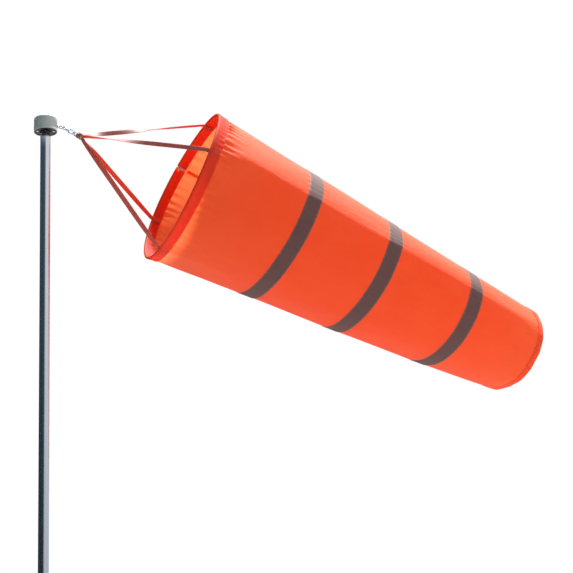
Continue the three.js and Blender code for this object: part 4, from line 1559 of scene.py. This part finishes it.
@dataclass
class Sock:
    """The cloth sleeve: four panels, three reflective tapes, the bound mouth, the seam and the tail's hem."""

    around: int = 480
    starts: tuple[float, ...] = (7.1 * MM, 221.1 * MM, 410.1 * MM, 613.1 * MM)
    ends: tuple[float, ...] = (220.9 * MM, 409.9 * MM, 612.9 * MM, 798.5 * MM)
    hem: float = 22 * MM
    gap: float = 0.6
    wire: float = 3.6 * MM
    nose: float = 3.1 * MM
    tab: tuple[float, float] = (2.6 * MM, 20.5 * MM)
    tab_width: float = 4.9 * MM
    tab_thick: float = 0.5 * MM
    tab_depth: float = 3.75 * MM
    tape_lift: float = 0.75 * MM
    tape_tuck: float = 0.45 * MM
    tail_half: float = 1.0 * MM
    tail_run: tuple[float, float] = (787 * MM, 801 * MM)
    seam_run: tuple[float, float] = (25 * MM, 783 * MM)
    seam_width: float = 7 * MM
    sewn_in: float = 1.8 * MM
    stitch: float = 4 * MM
    step: float = 3.2 * MM
    hem_flat: float = 36 * MM
    tail_flat: float = 30 * MM
    hem_gather: float = 0.32 * MM
    seam_depth: float = 0.5 * MM
    seam_bulge: float = 0.7 * MM
    tail_row: float = 789.5 * MM
    seam_rows: float = 2.4 * MM

    def panels(self) -> list[bpy.types.Object]:
        """The four panels, which meet under the tapes.

        Returns:
            The panels, from the mouth.
        """
        made = []
        for number, (start, end) in enumerate(zip(self.starts, self.ends), 1):
            rows = round((end - start) / self.step)

            def where(u: np.ndarray, v: np.ndarray, start: float = start, end: float = end) -> Pair:
                """Distance along the sock and turn round it."""
                return start + (end - start) * v, SEAM_TURN - 360 + 360 * u

            name = f"cloth_panel_{number}"
            mesh = Skin(self.around, rows, True).lay(
                name, lambda u, v: SHAPE.place(*where(u, v)), lambda u, v: SHAPE.flat(*where(u, v)))
            piece = settle(name, mesh, Body.SOCK, CLOTH, [f"sock_panel_{number}"])
            wide, narrow = (math.tau * float(SHAPE.radius(np.array(s))) for s in (start, end))
            made.append(piece)
        return made

    def tape(self, number: int, start: float) -> bpy.types.Object:
        """One reflective tape, sewn along both edges.

        Args:
            number: Its number from the mouth.
            start: Where its front edge lies along the sock.

        Returns:
            The tape.
        """
        def where(u: np.ndarray, v: np.ndarray) -> Pair:
            """Distance along the sock and turn round it."""
            return start + FULL_TAPE * v, SEAM_TURN - 360 + 360 * u

        def place(u: np.ndarray, v: np.ndarray) -> np.ndarray:
            """The place of each corner, on the cloth with its edges sewn down."""
            edge = np.clip((np.abs(v - 0.5) * 2 - 0.9) * 10, 0, 1) ** 2
            return SHAPE.place(*where(u, v), self.tape_lift - self.tape_tuck * edge)

        def patch(u: np.ndarray, v: np.ndarray) -> np.ndarray:
            """The flat place of each corner."""
            _, turn = where(u, v)
            return np.stack([np.radians(turn) * float(SHAPE.radius(np.array(start))), v * FULL_TAPE], axis=-1)

        name = f"reflective_tape_{number}"
        piece = settle(name, Skin(self.around, 20, True).lay(name, place, patch), Body.SOCK, TAPE,
                       [f"reflective_band_{number}"])
        round_it = math.tau * float(SHAPE.radius(np.array(start)))
        return piece

    def binding(self) -> bpy.types.Object:
        """The folded band round the mouth, whose ends nearly meet at the seam.

        Returns:
            The piece.
        """
        nose, reach = self.nose, self.hem - self.wire

        def place(u: np.ndarray, v: np.ndarray) -> np.ndarray:
            """The place of each corner: inside the mouth, over the hoop and back along the outside.

            Args:
                u: Share round the mouth.
                v: Share across the band.

            Returns:
                The places.
            """
            turn = SEAM_TURN + self.gap + (360 - 2 * self.gap) * u
            run = (v - 0.5) * 2
            flat = np.clip(np.abs(run) * 1.35 - 0.35, 0, 1)
            bend = np.clip(1 - np.abs(run) / 0.26, 0, 1)
            s = self.wire + reach * flat - nose * np.sin(bend * math.pi / 2)
            rise = nose * np.cos(bend * math.pi / 2) * np.sign(run)
            taper = 1 - 0.42 * np.clip(flat * 1.6, 0, 1)
            around = np.radians(turn)
            gather = self.hem_gather * np.sin(74 * around + 1.3 * np.sin(5 * around))
            gather *= np.clip(flat * 1.4, 0, 1)
            return SHAPE.stand(s, turn, SHAPE.radius(s) + rise * taper + gather)

        def patch(u: np.ndarray, v: np.ndarray) -> np.ndarray:
            """The flat place of each corner."""
            return np.stack([u * math.tau * SHAPE.front, v * self.hem_flat], axis=-1)

        mesh = Skin(self.around, 36).lay("mouth_hem", place, patch)
        return settle("mouth_hem", mesh, Body.SOCK, BINDING_WITH_PAINTED_SHADE, ["mouth_binding"])

    def tail(self) -> bpy.types.Object:
        """The folded hem at the tail.

        Returns:
            The piece.
        """
        half, (start, end) = self.tail_half, self.tail_run

        def place(u: np.ndarray, v: np.ndarray) -> np.ndarray:
            """The place of each corner: inside, round the edge and back along the outside.

            Args:
                u: Share round the tail.
                v: Share across the hem.

            Returns:
                The places.
            """
            run = (v - 0.5) * 2
            flat = np.clip(np.abs(run) * 1.25 - 0.25, 0, 1)
            bend = np.clip(1 - np.abs(run) / 0.2, 0, 1)
            s = end - half - (end - half - start) * flat + half * np.sin(bend * math.pi / 2)
            return SHAPE.place(s, 360 * u, half * np.cos(bend * math.pi / 2) * np.sign(run))

        def patch(u: np.ndarray, v: np.ndarray) -> np.ndarray:
            """The flat place of each corner."""
            return np.stack([u * math.tau * SHAPE.back, v * self.tail_flat], axis=-1)

        mesh = Skin(self.around, 24, True).lay("tail_hem", place, patch)
        return settle("tail_hem", mesh, Body.SOCK, HEM_CLOTH, ["tail_binding"])

    def seam(self) -> bpy.types.Object:
        """The felled seam along the inside.

        Returns:
            The piece.
        """
        (start, end), width = self.seam_run, self.seam_width

        def where(u: np.ndarray, v: np.ndarray) -> Pair:
            """Distance along the sock and turn round it."""
            s = start + (end - start) * v
            return s, SEAM_TURN + np.degrees((u - 0.5) * width / SHAPE.radius(s))

        def place(u: np.ndarray, v: np.ndarray) -> np.ndarray:
            """The place of each corner, bulged in from the cloth."""
            bulge = np.sqrt(np.clip(1 - (2 * u - 1) ** 2, 0, 1))
            return SHAPE.place(*where(u, v), -self.seam_depth - self.seam_bulge * bulge)

        def patch(u: np.ndarray, v: np.ndarray) -> np.ndarray:
            """The flat place of each corner."""
            return np.stack([u * width, v * (end - start)], axis=-1)

        mesh = Skin(10, 240).lay("felled_seam", place, patch)
        return settle("felled_seam", mesh, Body.SOCK, HEM_CLOTH, ["sock_seam"])

    def joint_tab(self) -> bpy.types.Object:
        """The pale tab over the line where the hem's ends meet, inside the mouth.

        Returns:
            The piece.
        """
        start, end = self.tab
        half = (self.tab_width / 2, self.tab_thick / 2)
        run = np.linspace(start, end, 13)
        turn = np.full_like(run, SEAM_TURN)
        sag = 0.25 * MM * np.sin(np.linspace(0, 3 * math.pi, len(run)))
        points = SHAPE.stand(run, turn, SHAPE.radius(run) - self.tab_depth + sag)
        mesh = Route(points, -SHAPE.spoke(run, turn)).section("joint_tab", half, 16, 0.4 * MM, 0.5)
        return settle("joint_tab", mesh, Body.SOCK, TAB_TAPE, ["hem_tab"])

    def ring_row(self, sewn: Stitching, s: float, offset: float) -> None:
        """Sew one row all the way round.

        Args:
            sewn: The stitching it belongs to.
            s: Its distance along the sock, in metres.
            offset: How far off the cloth it lies.
        """
        count = round(math.tau * float(SHAPE.radius(np.array(s))) / self.stitch)
        turn = np.linspace(SEAM_TURN + self.gap, SEAM_TURN - self.gap + 360, count)
        run = np.full_like(turn, s)
        sewn.row(SHAPE.place(run, turn, offset), SHAPE.spoke(run, turn) * math.copysign(1.0, offset))

    def sewing(self) -> None:
        """Every row of stitches on the cloth."""
        tape = Stitching("tape_stitching")
        for start in SHAPE.tapes:
            for edge in (start + self.sewn_in, start + FULL_TAPE - self.sewn_in):
                self.ring_row(tape, edge, self.tape_lift + 0.1 * MM)
        tape.piece(Body.SOCK, PALE_THREAD)
        hems = Stitching("hem_stitching")
        self.ring_row(hems, self.hem - self.sewn_in, 1.95 * MM)
        self.ring_row(hems, self.tail_row, self.tail_half + 0.1 * MM)
        seam = np.arange(self.seam_run[0] + 3 * MM, self.seam_run[1] - 3 * MM, self.stitch)
        for side in (-self.seam_rows, self.seam_rows):
            turn = SEAM_TURN + np.degrees(side / SHAPE.radius(seam))
            hems.row(SHAPE.place(seam, turn, 0.1 * MM), SHAPE.spoke(seam, turn))
            hems.row(SHAPE.place(seam, turn, -1.1 * MM), -SHAPE.spoke(seam, turn))
        hems.piece(Body.SOCK, ORANGE_THREAD)

    def build(self) -> None:
        """Make the cloth, tapes, hems, seam, tab and stitches, and dress the hoop."""
        self.panels()
        for number, start in enumerate(SHAPE.tapes, 1):
            self.tape(number, start)
        self.binding()
        self.tail()
        self.seam()
        self.joint_tab()
        self.sewing()
        dress(frame["nodes"]["mouth_hoop"], SPRING_STEEL)


# ---------------------------------------------------------------- studio
@dataclass
class Studio:
    """The floor, the surroundings, the lamps and the camera."""

    facing: float = -20.3
    distance: float = 6.0
    below: float = 23.7
    tilt: float = 20.82
    pan: float = 4.76
    roll: float = -1.40
    lens: float = 195.2
    sensor: float = 36.0
    sun: Colour = (0.20, 0.19, 0.961)
    sun_power: float = 9.6
    sun_width: float = 6.0
    sun_colour: Colour = (1.0, 0.98, 0.95)
    fill_power: float = 34.0
    fill_size: tuple[float, float] = (3.0, 2.0)
    fill_about: Colour = (0.4, 0.0, 0.9)
    fill_from: Colour = (1.7, -3.0, 0.6)
    fill_aim: Colour = (0.5, 0.0, 1.0)
    beam_power: float = 150.0
    beam_width: float = 3.8
    beam_from: Colour = (-1.98, -2.16, -0.9)
    floor_size: tuple[float, float] = (7.0, 4.9)
    floor_middle: Colour = (0.5, 1.55, -0.0005)
    floor_greys: tuple[Colour, Colour] = ((0.30, 0.30, 0.30), (0.35, 0.35, 0.35))
    left_side: tuple[Colour, Colour] = ((0.006, 0.011, 0.016), (0.07, 0.11, 0.14))
    right_side: tuple[Colour, Colour] = ((0.58, 0.60, 0.64), (1.05, 0.92, 0.93))
    banding: Colour = (0.16, 0.21, 0.26)
    sky: Colour = (0.80, 0.84, 0.90)

    def from_view(self, vector: Colour) -> Vector:
        """Turn a vector given right, away and up from the viewer into the model's frame."""
        return Matrix.Rotation(math.radians(self.facing), 3, "Z") @ Vector(vector)

    def camera(self) -> None:
        """Set the camera below and in front of the head, looking up at it."""
        below, tilt, pan, roll = (math.radians(a) for a in (self.below, self.tilt, self.pan, self.roll))
        rim = Vector((0, 0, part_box("head_shell")[0].z))
        place = rim + self.from_view((0, -self.distance * math.cos(below), -self.distance * math.sin(below)))
        ahead = Vector((math.sin(pan) * math.cos(tilt), math.cos(pan) * math.cos(tilt), math.sin(tilt)))
        level = Vector((math.cos(pan), -math.sin(pan), 0))
        above = level.cross(ahead)
        right = level * math.cos(roll) + above * math.sin(roll)
        up = above * math.cos(roll) - level * math.sin(roll)
        columns = [self.from_view(tuple(v)) for v in (right, up, -ahead)]
        data = bpy.data.cameras.new("camera")
        data.lens, data.sensor_width, data.clip_start, data.clip_end = self.lens, self.sensor, 0.05, 100.0
        camera = bpy.data.objects.new("camera", data)
        camera.matrix_world = Matrix.Translation(place) @ Matrix(columns).transposed().to_4x4()
        bpy.context.scene.collection.objects.link(camera)
        bpy.context.scene.camera = camera

    def floor(self) -> None:
        """A pale floor that stops short of the viewer, who stands lower than it."""
        bm = bmesh.new()
        bmesh.ops.create_grid(bm, x_segments=4, y_segments=4, size=0.5)
        bmesh.ops.scale(bm, vec=(*self.floor_size, 1.0), verts=bm.verts)
        bmesh.ops.translate(bm, vec=self.floor_middle, verts=bm.verts)
        turn = Matrix.Rotation(math.radians(self.facing), 3, "Z")
        bmesh.ops.rotate(bm, cent=(0, 0, 0), matrix=turn, verts=bm.verts)
        mesh = bpy.data.meshes.new("floor")
        bm.to_mesh(mesh)
        bm.free()
        floor = bpy.data.objects.new("floor", mesh)
        bpy.context.scene.collection.objects.link(floor)
        made = bpy.data.materials.new("pale_floor")
        made.use_nodes = True
        recipe = Recipe(made.node_tree)
        cloud = recipe.noise(recipe.place(), 3.0, 3.0)
        pale = recipe.blend(cloud, *self.floor_greys)
        recipe.surface({"Base Color": pale, "Roughness": 0.8})
        mesh.materials.append(made)

    def surroundings(self) -> None:
        """White behind the object, and a room that is darker on the viewer's left than on their right."""
        world = bpy.data.worlds.new("studio")
        bpy.context.scene.world = world
        world.use_nodes = True
        recipe = Recipe(world.node_tree)
        way = recipe.out("ShaderNodeTexCoord", at="Generated")
        right = recipe.out("ShaderNodeVectorMath", {"operation": "DOT_PRODUCT"},
                           {0: way, 1: tuple(self.from_view((1, 0, 0)))}, at="Value")
        _, _, height = recipe.split(way)
        dark = recipe.blend(height.ease(0.24, 0.46), *self.left_side)
        bright = recipe.blend(height.ease(0.25, 0.38), *self.right_side)
        side = recipe.blend(right.ease(-0.14, 0.30), dark, bright)
        band = right.wave(0.37) * right.wave(0.11)
        side = recipe.blend(band * 0.22, side, self.banding)
        room = recipe.blend(height.ease(0.45, 0.95), side, self.sky)
        seen = recipe.out("ShaderNodeLightPath", at="Is Camera Ray")
        colour = recipe.blend(seen, room, (1.0, 1.0, 1.0))
        back = recipe.out("ShaderNodeBackground", values={"Color": colour, "Strength": 1.0})
        recipe.node("ShaderNodeOutputWorld", values={"Surface": back})

    @staticmethod
    def lamp(data: bpy.types.Light, place: Vector, way: Vector, glossy: bool = False) -> None:
        """Hang a lamp.

        Args:
            data: The lamp's light.
            place: Where it hangs.
            way: The direction from what it lights back to it.
            glossy: Whether it shows in reflections.
        """
        lamp = bpy.data.objects.new(data.name, data)
        lamp.visible_glossy = glossy
        lamp.matrix_world = Matrix.Translation(place) @ way.to_track_quat("Z", "Y").to_matrix().to_4x4()
        bpy.context.scene.collection.objects.link(lamp)

    def lamps(self) -> None:
        """A high sun behind on the right, a broad fill from the viewer's side and a beam into the mouth."""
        key = bpy.data.lights.new("key", "SUN")
        key.energy, key.angle, key.color = self.sun_power, math.radians(self.sun_width), self.sun_colour
        self.lamp(key, Vector(), self.from_view(self.sun), glossy=True)
        fill = bpy.data.lights.new("fill", "AREA")
        fill.shape, fill.energy = "RECTANGLE", self.fill_power
        fill.size, fill.size_y = self.fill_size
        place = Vector(self.fill_about) + self.from_view(self.fill_from)
        self.lamp(fill, place, place - Vector(self.fill_aim))
        beam = bpy.data.lights.new("mouth_beam", "SPOT")
        beam.energy, beam.shadow_soft_size = self.beam_power, 50 * MM
        beam.spot_size, beam.spot_blend = math.radians(self.beam_width), 1.0
        aim = Vector(SHAPE.centre(np.array(0.0)))
        self.lamp(beam, aim + self.from_view(self.beam_from), self.from_view(self.beam_from))

    def build(self) -> None:
        """Set the camera, floor, surroundings and lamps."""
        self.camera()
        self.floor()
        self.surroundings()
        self.lamps()
        bpy.context.scene.view_settings.view_transform = "Standard"


def main() -> None:
    """Build the studio and the windsock."""
    logging.basicConfig(level=logging.INFO, format="%(name)s %(message)s")
    for assembly in (Studio(), Pole(), Head(), Coupling(), Sock(), Bridle()):
        LOG.info("building the %s", type(assembly).__name__.lower())
        assembly.build()


if __name__ == "__main__":
    main()
